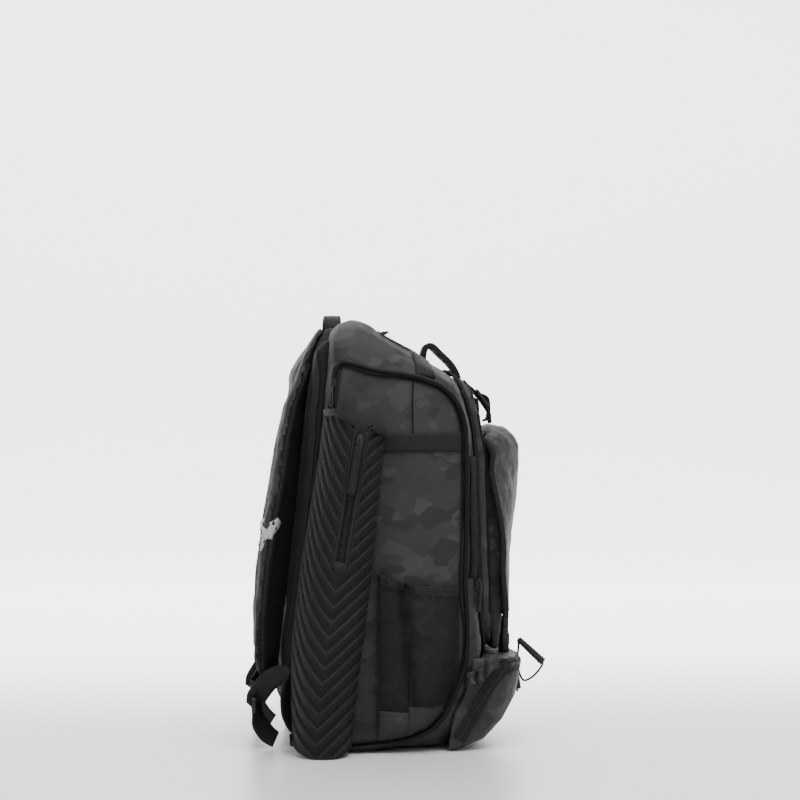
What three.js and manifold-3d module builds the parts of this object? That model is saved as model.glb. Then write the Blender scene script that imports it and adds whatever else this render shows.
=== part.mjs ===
// A baseball bat backpack standing on its base. Lengths are in millimetres and Z is up.
// The wearer's back is toward +Y, the front pockets face -Y, and the wearer's left is -X.
import * as THREE from 'three';
import { mergeVertices } from 'three/addons/utils/BufferGeometryUtils.js';
import Module from 'manifold-3d';

const wasm = await Module();
wasm.setup();

// Driving sizes of the bag
const bodyWidth = 300;
const bodyDepth = 230;
const bodyHeight = 523;
const bodyFlat = 0.55;
const bodyWall = 3;
const sideBulge = 7;
const clearance = 0.3;

// Driving sizes of the mouth and its lid
const mouthWidth = 186;
const mouthDepth = 80;
const mouthSetback = 18;
const mouthCorner = 26;
const zipTape = 9;
const coilWidth = 4;
const coilHeight = 2.2;
const clothThickness = 1.4;
const lidThickness = 4;
const lidDrop = 78;

// Driving sizes of the back pad and the shoulder straps
const padWidth = 244;
const padThickness = 18;
const padRound = 26;
const strapReach = 36;
const strapWidth = 66;
const strapThickness = 13;
const webbingWidth = 25;
const webbingThickness = 1.8;
const tabTop = 290;
const tabRise = 30;
const tabHeight = 13;
const lockDrop = 36;
const lockReach = 14;
const lockHeight = 20;

// Driving sizes of the bat sleeves
const sleeveHeight = 414;
const sleeveDepth = 66;
const sleeveSpan = 80;
const sleeveWall = 4;
const ribPitch = 18;
const ribHeight = 1.8;
const ribSlope = 0.95;
const placketWidth = 17;
const placketLength = 158;

// Driving sizes of the side panels
const pipingRadius = 2.4;
const bandWidth = 24;
const bandHeight = 358;
const pocketHeight = 204;
const pocketSpan = 98;
const pocketBulge = 24;
const pocketWall = 2;
const pocketBinding = 11;
const pocketFolds = 4;
const stripLength = 148;
const rearTop = 462;
const rearLength = 190;
const rearInset = 7;

// Driving sizes of the front
const frontWidth = 232;
const frontThickness = 11;
const frontHeight = 328;
const frontCorner = 44;
const frontWall = 2.5;
const flapWidth = 212;
const flapTop = 396;
const flapFall = 20;
const flapReach = 58;
const flapWall = 4;
const lowerHeight = 112;
const lowerReach = 46;
const lowerWidth = 292;
const lowerZipWidth = 15;
const lowerZipShare = 0.93;
const ruffleWidth = 10;
const ruffleWave = 3;
const buckleWidth = 30;
const buckleHeight = 44;
const buckleThickness = 9;
const frontStrapWidth = 20;
const frontStrapSpread = 120;

// Driving sizes of the handles and pulls
const handleWidth = 30;
const handleThickness = 8;
const handleLength = 46;
const handleRise = 32;
const haulSpan = 92;
const haulRise = 17;
const haulWidth = 20;
const haulSeat = 4;
const gripLength = 38;
const gripRadius = 5;
const pullCord = 1.5;

const half = bodyWidth / 2;
const sides = [{ name: 'left', way: -1 }, { name: 'right', way: 1 }];

// Stations round the bag seen from its side, from the base up the back, over the top and down the front.
// mid is the outline in the middle, seam the outline at the side panels' piping, in shares of depth and height.
const stations = [
  { mid: [0.174, 0], seam: [0.174, 0.011] },
  { mid: [0.348, 0], seam: [0.33, 0.01] },
  { mid: [0.396, 0.023], seam: [0.374, 0.031] },
  { mid: [0.404, 0.115], seam: [0.383, 0.12] },
  { mid: [0.383, 0.258], seam: [0.361, 0.258] },
  { mid: [0.352, 0.396], seam: [0.33, 0.396] },
  { mid: [0.317, 0.533], seam: [0.296, 0.533] },
  { mid: [0.287, 0.671], seam: [0.265, 0.671] },
  { mid: [0.252, 0.809], seam: [0.23, 0.793] },
  { mid: [0.235, 0.9], seam: [0.213, 0.857] },
  { mid: [0.222, 0.966], seam: [0.2, 0.883] },
  { mid: [0.183, 0.99], seam: [0.174, 0.893] },
  { mid: [0.109, 1], seam: [0.096, 0.885] },
  { mid: [0.017, 0.989], seam: [0, 0.872] },
  { mid: [-0.1, 0.956], seam: [-0.104, 0.868] },
  { mid: [-0.23, 0.92], seam: [-0.217, 0.859] },
  { mid: [-0.335, 0.889], seam: [-0.335, 0.841] },
  { mid: [-0.426, 0.862], seam: [-0.413, 0.809] },
  { mid: [-0.474, 0.828], seam: [-0.452, 0.769] },
  { mid: [-0.513, 0.763], seam: [-0.465, 0.734] },
  { mid: [-0.548, 0.683], seam: [-0.47, 0.625] },
  { mid: [-0.561, 0.514], seam: [-0.465, 0.488] },
  { mid: [-0.574, 0.35], seam: [-0.457, 0.373] },
  { mid: [-0.587, 0.229], seam: [-0.478, 0.272] },
  { mid: [-0.57, 0.143], seam: [-0.465, 0.205] },
  { mid: [-0.513, 0.073], seam: [-0.426, 0.155] },
  { mid: [-0.448, 0.019], seam: [-0.365, 0.09] },
  { mid: [-0.365, 0], seam: [-0.283, 0.05] },
  { mid: [-0.174, 0], seam: [-0.143, 0.027] },
  { mid: [0, 0], seam: [0.017, 0.017] },
];

// Dents and swells of the side panel: place in shares of depth and height, spread and depth in millimetres.
const sideDents = [
  { y: 0.02, z: 0.8, spread: 24, depth: 4 },
  { y: -0.2, z: 0.76, spread: 34, depth: -3 },
  { y: -0.07, z: 0.62, spread: 20, depth: 3.5 },
  { y: -0.3, z: 0.56, spread: 40, depth: -2.5 },
  { y: -0.1, z: 0.45, spread: 26, depth: 2.5 },
  { y: 0.1, z: 0.9, spread: 18, depth: 3 },
];

// A closed solid from its corners and triangles, turned right side out.
function solidFrom(points, triangles) {
  let volume = 0;
  for (const [a, b, c] of triangles) {
    volume += points[a].dot(new THREE.Vector3().crossVectors(points[b], points[c]));
  }
  const facing = volume < 0 ? triangles.map(([a, b, c]) => [a, c, b]) : triangles;
  return new wasm.Manifold(new wasm.Mesh({
    numProp: 3,
    vertProperties: new Float32Array(points.flatMap((point) => point.toArray())),
    triVerts: new Uint32Array(facing.flat()),
  }));
}

// Triangles that fill one ring of points, which may have hollow sides.
function fillRing(ring) {
  const normal = new THREE.Vector3();
  ring.forEach((point, i) => normal.add(
    new THREE.Vector3().crossVectors(point, ring[(i + 1) % ring.length])));
  const sizes = normal.toArray().map(Math.abs);
  const drop = sizes.indexOf(Math.max(...sizes));
  const [u, v] = [[1, 2], [0, 2], [0, 1]][drop];
  const flat = ring.map((point) => new THREE.Vector2(point.getComponent(u), point.getComponent(v)));
  const faces = THREE.ShapeUtils.triangulateShape(flat, []);
  const sum = new THREE.Vector3();
  for (const [a, b, c] of faces) {
    const one = ring[b].clone().sub(ring[a]);
    sum.add(one.cross(ring[c].clone().sub(ring[a])));
  }
  return sum.dot(normal) < 0 ? faces.map(([a, b, c]) => [a, c, b]) : faces;
}

// A solid through a row of rings with equal numbers of points. A looped one joins its last ring to its first.
function loft(rings, looped = false) {
  const size = rings[0].length;
  const triangles = [];
  const spans = looped ? rings.length : rings.length - 1;
  for (let i = 0; i < spans; i += 1) {
    const here = i * size;
    const there = ((i + 1) % rings.length) * size;
    for (let j = 0; j < size; j += 1) {
      const next = (j + 1) % size;
      triangles.push([here + j, here + next, there + next]);
      triangles.push([here + j, there + next, there + j]);
    }
  }
  if (!looped) {
    const last = (rings.length - 1) * size;
    fillRing(rings[0]).forEach(([a, b, c]) => triangles.push([a, c, b]));
    fillRing(rings[rings.length - 1]).forEach(([a, b, c]) => triangles.push([last + a, last + b, last + c]));
  }
  return solidFrom(rings.flat(), triangles);
}

// A solid between two grids of points that face each other.
function slab(front, back) {
  return loft(front.map((row, i) => [...row, ...back[i].slice().reverse()]));
}

// The solid of a closed geometry, placed by a matrix.
function solidOf(geometry, matrix = new THREE.Matrix4()) {
  const placed = geometry.clone().applyMatrix4(matrix);
  placed.deleteAttribute('normal');
  placed.deleteAttribute('uv');
  const merged = mergeVertices(placed, 1e-4);
  const spots = merged.attributes.position;
  const points = [];
  for (let i = 0; i < spots.count; i += 1) {
    points.push(new THREE.Vector3().fromBufferAttribute(spots, i));
  }
  const triangles = [];
  for (let i = 0; i < merged.index.count; i += 3) {
    triangles.push([merged.index.getX(i), merged.index.getX(i + 1), merged.index.getX(i + 2)]);
  }
  return solidFrom(points, triangles);
}

// A straight prism: its outline lies across the named axis and it runs along that axis.
function prism(outline, axis, from, to, segments = 3) {
  const shape = outline instanceof THREE.Shape
    ? outline : new THREE.Shape(outline.map(([u, v]) => new THREE.Vector2(u, v)));
  const extruded = new THREE.ExtrudeGeometry(shape, { depth: to - from, bevelEnabled: false, curveSegments: segments });
  const bases = {
    x: [new THREE.Vector3(0, 1, 0), new THREE.Vector3(0, 0, 1), new THREE.Vector3(1, 0, 0)],
    y: [new THREE.Vector3(1, 0, 0), new THREE.Vector3(0, 0, 1), new THREE.Vector3(0, 1, 0)],
    z: [new THREE.Vector3(1, 0, 0), new THREE.Vector3(0, 1, 0), new THREE.Vector3(0, 0, 1)],
  };
  const matrix = new THREE.Matrix4().makeBasis(...bases[axis]);
  return solidOf(extruded, matrix.setPosition(bases[axis][2].clone().multiplyScalar(from)));
}

// A rectangle with round corners, as a shape.
function roundRectangle(width, height, radius, x = 0, y = 0) {
  const shape = new THREE.Shape();
  const [right, top] = [width / 2, height / 2];
  const corners = [[1, 1, 0], [-1, 1, 1], [-1, -1, 2], [1, -1, 3]];
  shape.moveTo(x + right, y + top - radius);
  for (const [u, v, turn] of corners) {
    const start = (turn * Math.PI) / 2;
    shape.absarc(x + u * (right - radius), y + v * (top - radius), radius, start, start + Math.PI / 2, false);
  }
  return shape;
}

// A flat strap along a path. Each row of the path has its point, and its width lies along the row's across.
function ribbon(path, width, thickness) {
  const rings = path.map((row, i) => {
    const before = path[Math.max(i - 1, 0)].at;
    const after = path[Math.min(i + 1, path.length - 1)].at;
    const along = after.clone().sub(before).normalize();
    const across = (row.across ?? new THREE.Vector3(1, 0, 0)).clone().normalize();
    const out = new THREE.Vector3().crossVectors(along, across).normalize();
    const side = new THREE.Vector3().crossVectors(out, along).normalize();
    return [[1, 1], [-1, 1], [-1, -1], [1, -1]].map(([u, v]) => row.at.clone()
      .addScaledVector(side, (u * width) / 2)
      .addScaledVector(out, (v * thickness) / 2));
  });
  return loft(rings);
}

// A round cord or tube along a list of points.
function tube(points, radius, count, steps, looped = false) {
  const curve = new THREE.CatmullRomCurve3(points, looped);
  const frames = curve.computeFrenetFrames(steps, looped);
  const rings = [];
  for (let i = 0; i < (looped ? steps : steps + 1); i += 1) {
    const centre = curve.getPointAt(i / steps);
    rings.push(Array.from({ length: count }, (_, j) => {
      const angle = (j * 2 * Math.PI) / count;
      return centre.clone()
        .addScaledVector(frames.normals[i], radius * Math.cos(angle))
        .addScaledVector(frames.binormals[i], radius * Math.sin(angle));
    }));
  }
  return loft(rings, looped);
}

const vector = (x, y, z) => new THREE.Vector3(x, y, z);
const join = (...solids) => solids.reduce((whole, solid) => whole.add(solid));
const mix = (from, to, share) => from + (to - from) * share;

// Reads a table of rows at any place between them. key names the column that orders the rows.
function readTable(table, key, place, column) {
  const later = table.findIndex((row) => row[key] >= place);
  if (later <= 0) {
    return (later === 0 ? table[0] : table[table.length - 1])[column];
  }
  const [low, high] = [table[later - 1], table[later]];
  return mix(low[column], high[column], (place - low[key]) / (high[key] - low[key]));
}

// How far a place across the bag has turned from the middle outline to the seam outline.
function turned(share) {
  const rest = Math.max(0, (Math.abs(share) - bodyFlat) / (1 - bodyFlat));
  return 1 - Math.sqrt(Math.max(0, 1 - rest * rest));
}

// One outline of the bag at a blend of the two station outlines, moved outward by grow.
function bodyOutline(blend, grow) {
  const flat = stations.map(({ mid, seam }) => [
    mix(mid[0], seam[0], blend) * bodyDepth, mix(mid[1], seam[1], blend) * bodyHeight]);
  return flat.map(([y, z], i) => {
    const before = flat[(i + flat.length - 1) % flat.length];
    const after = flat[(i + 1) % flat.length];
    const length = Math.hypot(after[0] - before[0], after[1] - before[1]);
    return [y + (grow * (after[1] - before[1])) / length, z - (grow * (after[0] - before[0])) / length];
  });
}

// Height of the side panel's relief at a place, from its dents and swells.
function sideRelief(y, z) {
  return sideDents.reduce((sum, dent) => {
    const [u, v] = [(y - dent.y * bodyDepth) / dent.spread, (z - dent.z * bodyHeight) / dent.spread];
    return sum - dent.depth * Math.exp(-(u * u + v * v));
  }, 0);
}

// The bag's full outer form, moved outward by grow. The shell, its hollow and all that seats on it come from it.
function bodySolid(grow = 0, plain = false) {
  const bends = plain ? [bodyFlat, 0.82, 1] : [bodyFlat, 0.68, 0.82, 0.94, 1];
  const across = [...bends.slice().reverse().map((share) => -share), ...bends];
  const inward = plain ? [0.3] : [0.22, 0.42, 0.62, 0.82];
  const seam = bodyOutline(1, grow);
  const centre = [0, 1].map((k) => seam.reduce((sum, point) => sum + point[k], 0) / seam.length);
  const cap = (share, way) => seam.map(([y, z]) => {
    const [u, v] = [mix(centre[0], y, share), mix(centre[1], z, share)];
    return vector(way * (half + grow + sideBulge * (1 - share * share) + sideRelief(u, v) * (1 - share)), u, v);
  });
  const rings = across.map((share) => bodyOutline(turned(share), grow)
    .map(([y, z]) => vector(share * (half + grow), y, z)));
  return loft([...inward.map((share) => cap(share, -1)), ...rings, ...inward.reverse().map((share) => cap(share, 1))]);
}

const body = bodySolid();
const seat = bodySolid(clearance);

// A layer of the bag's surface between two distances from it, inside a region.
function bodyLayer(region, thickness) {
  return bodySolid(clearance + thickness).intersect(region).subtract(seat);
}

// The y of the bag's back and front surfaces in the middle, at a height.
const backRows = stations.slice(1, 13).map(({ mid }) => ({ z: mid[1], y: mid[0] }));
const frontRows = stations.slice(13, 28).reverse().map(({ mid }) => ({ z: mid[1], y: mid[0] }));
const backY = (z) => readTable(backRows, 'z', z / bodyHeight, 'y') * bodyDepth;
const frontY = (z) => readTable(frontRows, 'z', z / bodyHeight, 'y') * bodyDepth;
const topRows = stations.slice(11, 19).reverse().map(({ mid }) => ({ y: mid[0], z: mid[1] }));
const topZ = (y) => readTable(topRows, 'y', y / bodyDepth, 'z') * bodyHeight;

const group = new THREE.Group();
const finishes = {
  cloth: new THREE.MeshStandardMaterial({ color: 0x38363a, roughness: 0.8 }),
  mesh: new THREE.MeshStandardMaterial({ color: 0x17171a, roughness: 0.9 }),
  foam: new THREE.MeshStandardMaterial({ color: 0x242326, roughness: 0.85 }),
  webbing: new THREE.MeshStandardMaterial({ color: 0x262425, roughness: 0.75 }),
  plastic: new THREE.MeshStandardMaterial({ color: 0x1b1b1d, roughness: 0.4 }),
  piping: new THREE.MeshStandardMaterial({ color: 0x2a2322, roughness: 0.35 }),
  reflective: new THREE.MeshStandardMaterial({ color: 0xaaaaaa, roughness: 0.4 }),
};

// Adds one solid to the bag as a named piece.
function addPiece(name, solid, finish) {
  const { vertProperties, triVerts } = solid.getMesh();
  const geometry = new THREE.BufferGeometry();
  geometry.setAttribute('position', new THREE.BufferAttribute(vertProperties, 3));
  geometry.setIndex(new THREE.BufferAttribute(triVerts, 1));
  geometry.computeVertexNormals();
  const mesh = new THREE.Mesh(geometry, finishes[finish]);
  mesh.name = name;
  group.add(mesh);
}

// Main shell with its mouth
const mouthY = -mouthSetback;
const mouth = (grow) => prism(
  roundRectangle(mouthWidth + 2 * grow, mouthDepth + 2 * grow, mouthCorner + grow, 0, mouthY),
  'z', bodyHeight / 2, bodyHeight * 1.2);
addPiece('main_shell', body.subtract(bodySolid(-bodyWall, true)).subtract(mouth(0)), 'cloth');

// Mouth zip round the near, front and far edges
const mouthBack = mouthY + mouthDepth / 2;
const zipSpan = roundRectangle(mouthWidth + 4 * zipTape, mouthDepth + 2 * zipTape, mouthCorner, 0, mouthY - mouthCorner);
const zipReach = prism(zipSpan, 'z', 0, bodyHeight * 1.2);
addPiece('mouth_zip', bodyLayer(mouth(zipTape).subtract(mouth(0)).intersect(zipReach), coilHeight), 'webbing');

// Lid of the mouth, hanging inside from the rear edge
const lidTop = topZ(mouthBack) - bodyWall / 2;
addPiece('top_lid', prism(
  roundRectangle(mouthWidth - 2 * mouthCorner, lidDrop, mouthCorner / 2, 0, lidTop - lidDrop / 2),
  'y', mouthBack - clearance - lidThickness, mouthBack - clearance), 'cloth');

// Shoulder straps: places down the strap in shares of height, reach past the pad, half width and strap sizes.
// tilt is the sine of the angle by which the strap's outer edge stands away from the bag.
const strapRows = [
  { up: 0.975, away: -0.22, aside: 0.36, wide: 0.86, thick: 0.62, tilt: 0 },
  { up: 0.955, away: -0.12, aside: 0.37, wide: 0.88, thick: 0.68, tilt: 0 },
  { up: 0.93, away: 0.03, aside: 0.38, wide: 0.92, thick: 0.75, tilt: 0.02 },
  { up: 0.895, away: 0.19, aside: 0.4, wide: 0.95, thick: 0.82, tilt: 0.06 },
  { up: 0.86, away: 0.27, aside: 0.42, wide: 0.98, thick: 0.9, tilt: 0.12 },
  { up: 0.805, away: 0.41, aside: 0.45, wide: 1, thick: 1, tilt: 0.29 },
  { up: 0.72, away: 0.49, aside: 0.49, wide: 1, thick: 1, tilt: 0.38 },
  { up: 0.62, away: 0.54, aside: 0.54, wide: 1, thick: 1, tilt: 0.43 },
  { up: 0.52, away: 0.61, aside: 0.58, wide: 1, thick: 1, tilt: 0.51 },
  { up: 0.41, away: 0.63, aside: 0.61, wide: 1, thick: 1, tilt: 0.53 },
  { up: 0.3, away: 0.63, aside: 0.63, wide: 0.96, thick: 0.98, tilt: 0.54 },
  { up: 0.21, away: 0.58, aside: 0.64, wide: 0.84, thick: 0.9, tilt: 0.54 },
  { up: 0.17, away: 0.52, aside: 0.64, wide: 0.6, thick: 0.7, tilt: 0.5 },
];
const strapSection = [[1, 0.3], [0.8, 0.9], [0.35, 1.12], [-0.35, 1.12], [-0.8, 0.9], [-1, 0.3],
  [-0.92, -0.55], [-0.4, -0.72], [0.4, -0.72], [0.92, -0.55]];
const strapPoint = (row, way) => vector(
  way * row.aside * half, backY(row.up * bodyHeight) + padThickness + row.away * strapReach, row.up * bodyHeight);
function strapSolid(way, grow) {
  const centres = strapRows.map((row) => strapPoint(row, way));
  const rings = strapRows.map((row, i) => {
    const before = centres[Math.max(i - 1, 0)];
    const after = centres[Math.min(i + 1, centres.length - 1)];
    const along = after.clone().sub(before).normalize();
    const across = vector(Math.sqrt(1 - row.tilt * row.tilt), way * row.tilt, 0);
    const out = new THREE.Vector3().crossVectors(across, along).normalize();
    out.multiplyScalar(out.y < 0 ? -1 : 1);
    const [wide, thick] = [(row.wide * strapWidth) / 2 + grow, (row.thick * strapThickness) / 2 + grow];
    return strapSection.map(([u, v]) => centres[i].clone()
      .addScaledVector(across, u * wide).addScaledVector(out, v * thick));
  });
  return loft(rings);
}

// Back pad of spacer mesh, swelling from its edges, cut where the straps lie on it
const padRows = [0.06, 0.085, 0.12, 0.25, 0.4, 0.55, 0.7, 0.84, 0.9, 0.93, 0.95];
const padColumns = [-1, -0.9, -0.76, -0.2, -0.06, 0.06, 0.2, 0.76, 0.9, 1];
const padPoint = (row, column, lift) => vector(
  (column * padWidth) / 2, backY(row * bodyHeight) + lift, row * bodyHeight);
const padEdge = (distance) => Math.sqrt(1 - (1 - Math.min(distance / padRound, 1)) ** 2);
const padChannel = (column) => (Math.abs(column) < 0.1 ? 0.62 : 1);
const padLift = (row, column) => padThickness * padChannel(column) * mix(0.35, 1, Math.min(
  padEdge((row - padRows[0]) * bodyHeight),
  padEdge((padRows[padRows.length - 1] - row) * bodyHeight),
  padEdge(((1 - Math.abs(column)) * padWidth) / 2)));
const padFace = padRows.map((row) => padColumns.map((column) => padPoint(row, column, padLift(row, column))));
const padRoot = padRows.map((row) => padColumns.map((column) => padPoint(row, column, -padThickness)));
const strapSeats = join(...sides.map(({ way }) => strapSolid(way, clearance)));
addPiece('back_pad', slab(padFace, padRoot).subtract(seat).subtract(strapSeats), 'mesh');

// Bat sleeves: the rear and front edges and the line of the chevrons' points, in shares of the span from the origin.
const sleeveRows = [
  { up: -0.05, rear: 1.22, front: 0.4, ridge: 0.94 },
  { up: 0.03, rear: 1.25, front: 0.36, ridge: 0.93 },
  { up: 0.12, rear: 1.27, front: 0.3, ridge: 0.9 },
  { up: 0.22, rear: 1.27, front: 0.25, ridge: 0.84 },
  { up: 0.34, rear: 1.25, front: 0.16, ridge: 0.75 },
  { up: 0.55, rear: 1.12, front: 0.03, ridge: 0.58 },
  { up: 0.85, rear: 0.86, front: -0.12, ridge: 0.32 },
  { up: 1.05, rear: 0.74, front: -0.17, ridge: 0.18 },
];
const sleeveArc = [0, 0.1, 0.25, 0.42, 0.58, 0.75, 0.9, 1];
const sleeveAt = (z, column) => readTable(sleeveRows, 'up', z / sleeveHeight, column) * sleeveSpan;
function sleevePoint(share, z, way, lift) {
  const [rear, front] = [sleeveAt(z, 'rear'), sleeveAt(z, 'front')];
  const angle = share * Math.PI;
  const y = (rear + front) / 2 + ((rear - front) / 2 + lift) * Math.cos(angle);
  const foot = mix(0.82, 1, Math.min(Math.max(z / (sleeveHeight / 5), 0), 1));
  const x = half - sideBulge + (sleeveDepth * foot + sideBulge + lift) * Math.sin(angle) ** 0.7;
  return vector(way * x, y, z);
}
function sleeveSolid(way, lift, ribs = 0) {
  const low = -ribPitch * 4;
  const high = sleeveHeight + ribPitch / 2;
  const step = ribs > 0 ? ribPitch / 2 : (high - low) / 9;
  const rings = [];
  for (let i = 0; low + i * step <= high; i += 1) {
    rings.push(sleeveArc.map((share) => {
      const row = low + i * step;
      const flat = sleevePoint(share, row, way, lift);
      const rise = ribs > 0 ? ribSlope * Math.abs(flat.y - sleeveAt(row, 'ridge')) : 0;
      return sleevePoint(share, row + rise, way, lift - (i % 2) * ribs);
    }));
  }
  return loft(rings);
}

// The sleeve's silhouette seen from the side, with its notched rim and its round foot.
const rim = sleeveHeight;
const notchShare = 0.92;
const sleeveOutline = [
  [sleeveSpan * 1.6, rim], [sleeveAt(rim, 'rear') - 4, rim], [sleeveAt(rim, 'ridge') + 12, rim * 0.965],
  [sleeveAt(rim, 'ridge') + 3, rim * notchShare], [sleeveAt(rim, 'ridge') - 6, rim * 0.948],
  [sleeveAt(rim, 'front'), rim * 0.935], [-sleeveSpan * 0.6, rim * 0.93], [-sleeveSpan * 0.6, 40],
  [sleeveAt(0, 'front') - 2, 16], [sleeveAt(0, 'front') + 10, 4], [sleeveAt(0, 'front') + 24, 0],
  [sleeveAt(0, 'rear') - 18, 0], [sleeveAt(0, 'rear') - 5, 7], [sleeveSpan * 1.6, 40],
];
// Side panels
const panel = (grow) => bodyOutline(1, grow);
const slice = (low, high, y0 = -bodyDepth, y1 = bodyDepth) => [[y0, low], [y1, low], [y1, high], [y0, high]];
const pocketRows = [0.06, 0.13, 0.24, 0.4, 0.6, 0.8, 1];
const pocketColumns = Array.from({ length: 14 }, (_, i) => i / 13);
const pocketEdge = 0.035;

// Welt of round piping along the crease between side panel and gusset.
function weltSolid(way, grow) {
  const lift = clearance + pipingRadius * 0.75;
  const radius = pipingRadius + grow;
  const turns = Array.from({ length: 6 }, (_, i) => (i * Math.PI) / 3);
  const loops = turns.map((turn) => bodyOutline(1, lift + radius * Math.sin(turn))
    .map(([y, z]) => vector(way * (half + lift + radius * Math.cos(turn)), y, z)));
  return loft(stations.map((_, i) => loops.map((loop) => loop[i])), true);
}

// One place on the mesh pocket's wall, with its folds and one deep gather.
function pocketPoint(row, column, way, lift) {
  const fold = Math.sin(column * pocketFolds * 2 * Math.PI + row * 1.4) * (pocketBulge / 8) * row;
  const place = (column - 0.24 + 0.06 * row) / 0.05;
  const gather = -0.45 * pocketBulge * Math.exp(-place * place) * Math.min(row * 1.6, 1);
  const swell = pocketBulge * Math.sin(Math.PI * (column * 0.94 + 0.03)) ** 0.55
    * Math.sin(Math.PI * (0.12 + Math.min(row, 1) * 0.62)) ** 0.6;
  const out = Math.max(swell + fold + gather, pocketWall);
  return vector(way * (half + sideBulge * 0.55 + out + lift), -pocketWall - column * pocketSpan, row * pocketHeight);
}
function pouchSolid(way, lift, depth, rows, columns) {
  const grid = (more) => rows.map((row) => columns.map((column) => pocketPoint(row, column, way, more)));
  return slab(grid(lift), grid(lift - depth));
}

for (const { name, way } of sides) {
  const reach = way < 0 ? [-bodyWidth, 0] : [0, bodyWidth];
  const onSide = (outline) => prism(outline, 'x', ...reach);

  // Piping round the side panel
  addPiece(`piping_${name}`, weltSolid(way, 0), 'piping');
  const weltSeat = weltSolid(way, clearance);

  // Bat sleeve: ribbed foam, hollow to the floor, slit for its zip
  const hollow = sleeveSolid(way, -sleeveWall).intersect(onSide(slice(sleeveWall, bodyHeight)));
  const zipTop = sleeveHeight * notchShare;
  const zipEnd = zipTop - placketLength;
  const zipLine = (z) => mix(sleeveAt(zipEnd, 'ridge'), sleeveAt(zipTop, 'ridge'), (z - zipEnd) / placketLength);
  const lane = (wide, top, bottom) => onSide([
    [zipLine(top) + wide / 2, top], [zipLine(bottom) + wide / 2, bottom],
    [zipLine(bottom) - wide / 2, bottom], [zipLine(top) - wide / 2, top]]);
  addPiece(`sleeve_${name}`, sleeveSolid(way, 0, ribHeight).intersect(onSide(sleeveOutline))
    .intersect(prism(slice(0, bodyHeight), 'x', ...[half - 1, bodyWidth].map((x) => way * x).sort((a, b) => a - b)))
    .subtract(hollow).subtract(seat).subtract(weltSeat)
    .subtract(lane(placketWidth, zipTop + sleeveSpan / 2, zipEnd)), 'foam');

  // Sleeve zip in the slit, and its pull
  const outside = prism(slice(0, bodyHeight), 'x', ...[0.35, 1.4]
    .map((share) => way * (half + sleeveDepth * share)).sort((a, b) => a - b));
  const skin = (from, to, region) => sleeveSolid(way, to).subtract(sleeveSolid(way, from))
    .intersect(region).intersect(outside);
  const tapeLane = lane(placketWidth - 2 * clearance, zipTop - 2, zipEnd + clearance);
  const coilLane = lane(coilWidth + 1, zipTop - 3, zipEnd + zipTape);
  const tabLane = lane(placketWidth - 2 * clearance, zipEnd + zipTape, zipEnd + clearance);
  addPiece(`sleeve_zip_${name}`, join(
    skin(1 - sleeveWall, -clothThickness, tapeLane),
    skin(-coilHeight, 0, coilLane),
    skin(-coilHeight, clearance, tabLane)), 'webbing');
  addPiece(`sleeve_pull_${name}`, join(
    skin(2 * clearance, 2 * coilHeight, lane(zipTape, zipTop - 4, zipTop - 20)),
    skin(1.6, 1.6 + clothThickness * 1.5, lane(zipTape + 2, zipTop - 16, zipTop - 68))), 'webbing');

  // Mesh pocket: a thin gathered wall, open on top
  const sleeveSeat = sleeveSolid(way, 2 * clearance);
  const insidePiping = onSide(panel(-pipingRadius - 1));
  const shrunk = pocketColumns.map((column) => mix(pocketEdge, 1 - pocketEdge, column));
  const wallRows = [pocketRows[0] + pocketEdge, ...pocketRows.slice(1), 1.1];
  const pouch = pouchSolid(way, 0, pocketBulge * 2, pocketRows, pocketColumns);
  addPiece(`mesh_pocket_${name}`, pouch.subtract(pouchSolid(way, -pocketWall, pocketBulge * 3, wallRows, shrunk))
    .intersect(insidePiping).subtract(seat).subtract(sleeveSeat), 'mesh');

  // Elastic binding that sags along the pocket's rim
  const hemGrid = (lift) => [pocketHeight - pocketBinding, pocketHeight].map((z) => pocketColumns.map((column) => {
    const point = pocketPoint(1, column, way, lift);
    return point.setZ(z + pocketBinding * (0.4 - 0.8 * column));
  }));
  const pouchSeat = pouchSolid(way, clearance, pocketBulge * 3, [...pocketRows, 1.1], pocketColumns);
  addPiece(`pocket_binding_${name}`, slab(hemGrid(2 * clearance + clothThickness), hemGrid(-pocketWall))
    .intersect(insidePiping).subtract(seat).subtract(sleeveSeat).subtract(pouchSeat), 'webbing');

  // Elastic band across the side panel, from the sleeve to the piping
  const bandPlace = onSide(slice(bandHeight, bandHeight + bandWidth, -bodyDepth, 0)).intersect(insidePiping);
  addPiece(`side_band_${name}`, bodyLayer(bandPlace, clothThickness).subtract(sleeveSeat), 'webbing');

  // Rear zip along the gusset behind the sleeve, with a slider and a pull
  const rearLane = (wide, top, bottom) => onSide([
    [backY(top) - rearInset + wide / 2, top], [backY(bottom) - rearInset + wide / 2, bottom],
    [backY(bottom) - rearInset - wide / 2, bottom], [backY(top) - rearInset - wide / 2, top]])
    .intersect(prism(slice(0, bodyHeight, 0), 'x', ...[0.9, 1.2].map((share) => way * half * share).sort((a, b) => a - b)));
  const rearZip = join(
    bodyLayer(rearLane(zipTape, rearTop, rearTop - rearLength), coilHeight * 0.8),
    bodyLayer(rearLane(zipTape, rearTop - 8, rearTop - 22), coilHeight * 2.4),
    bodyLayer(rearLane(coilWidth, rearTop - 20, rearTop - 48), coilHeight * 2));
  addPiece(`rear_zip_${name}`, rearZip.subtract(weltSeat).subtract(sleeveSeat), 'webbing');
}

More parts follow.
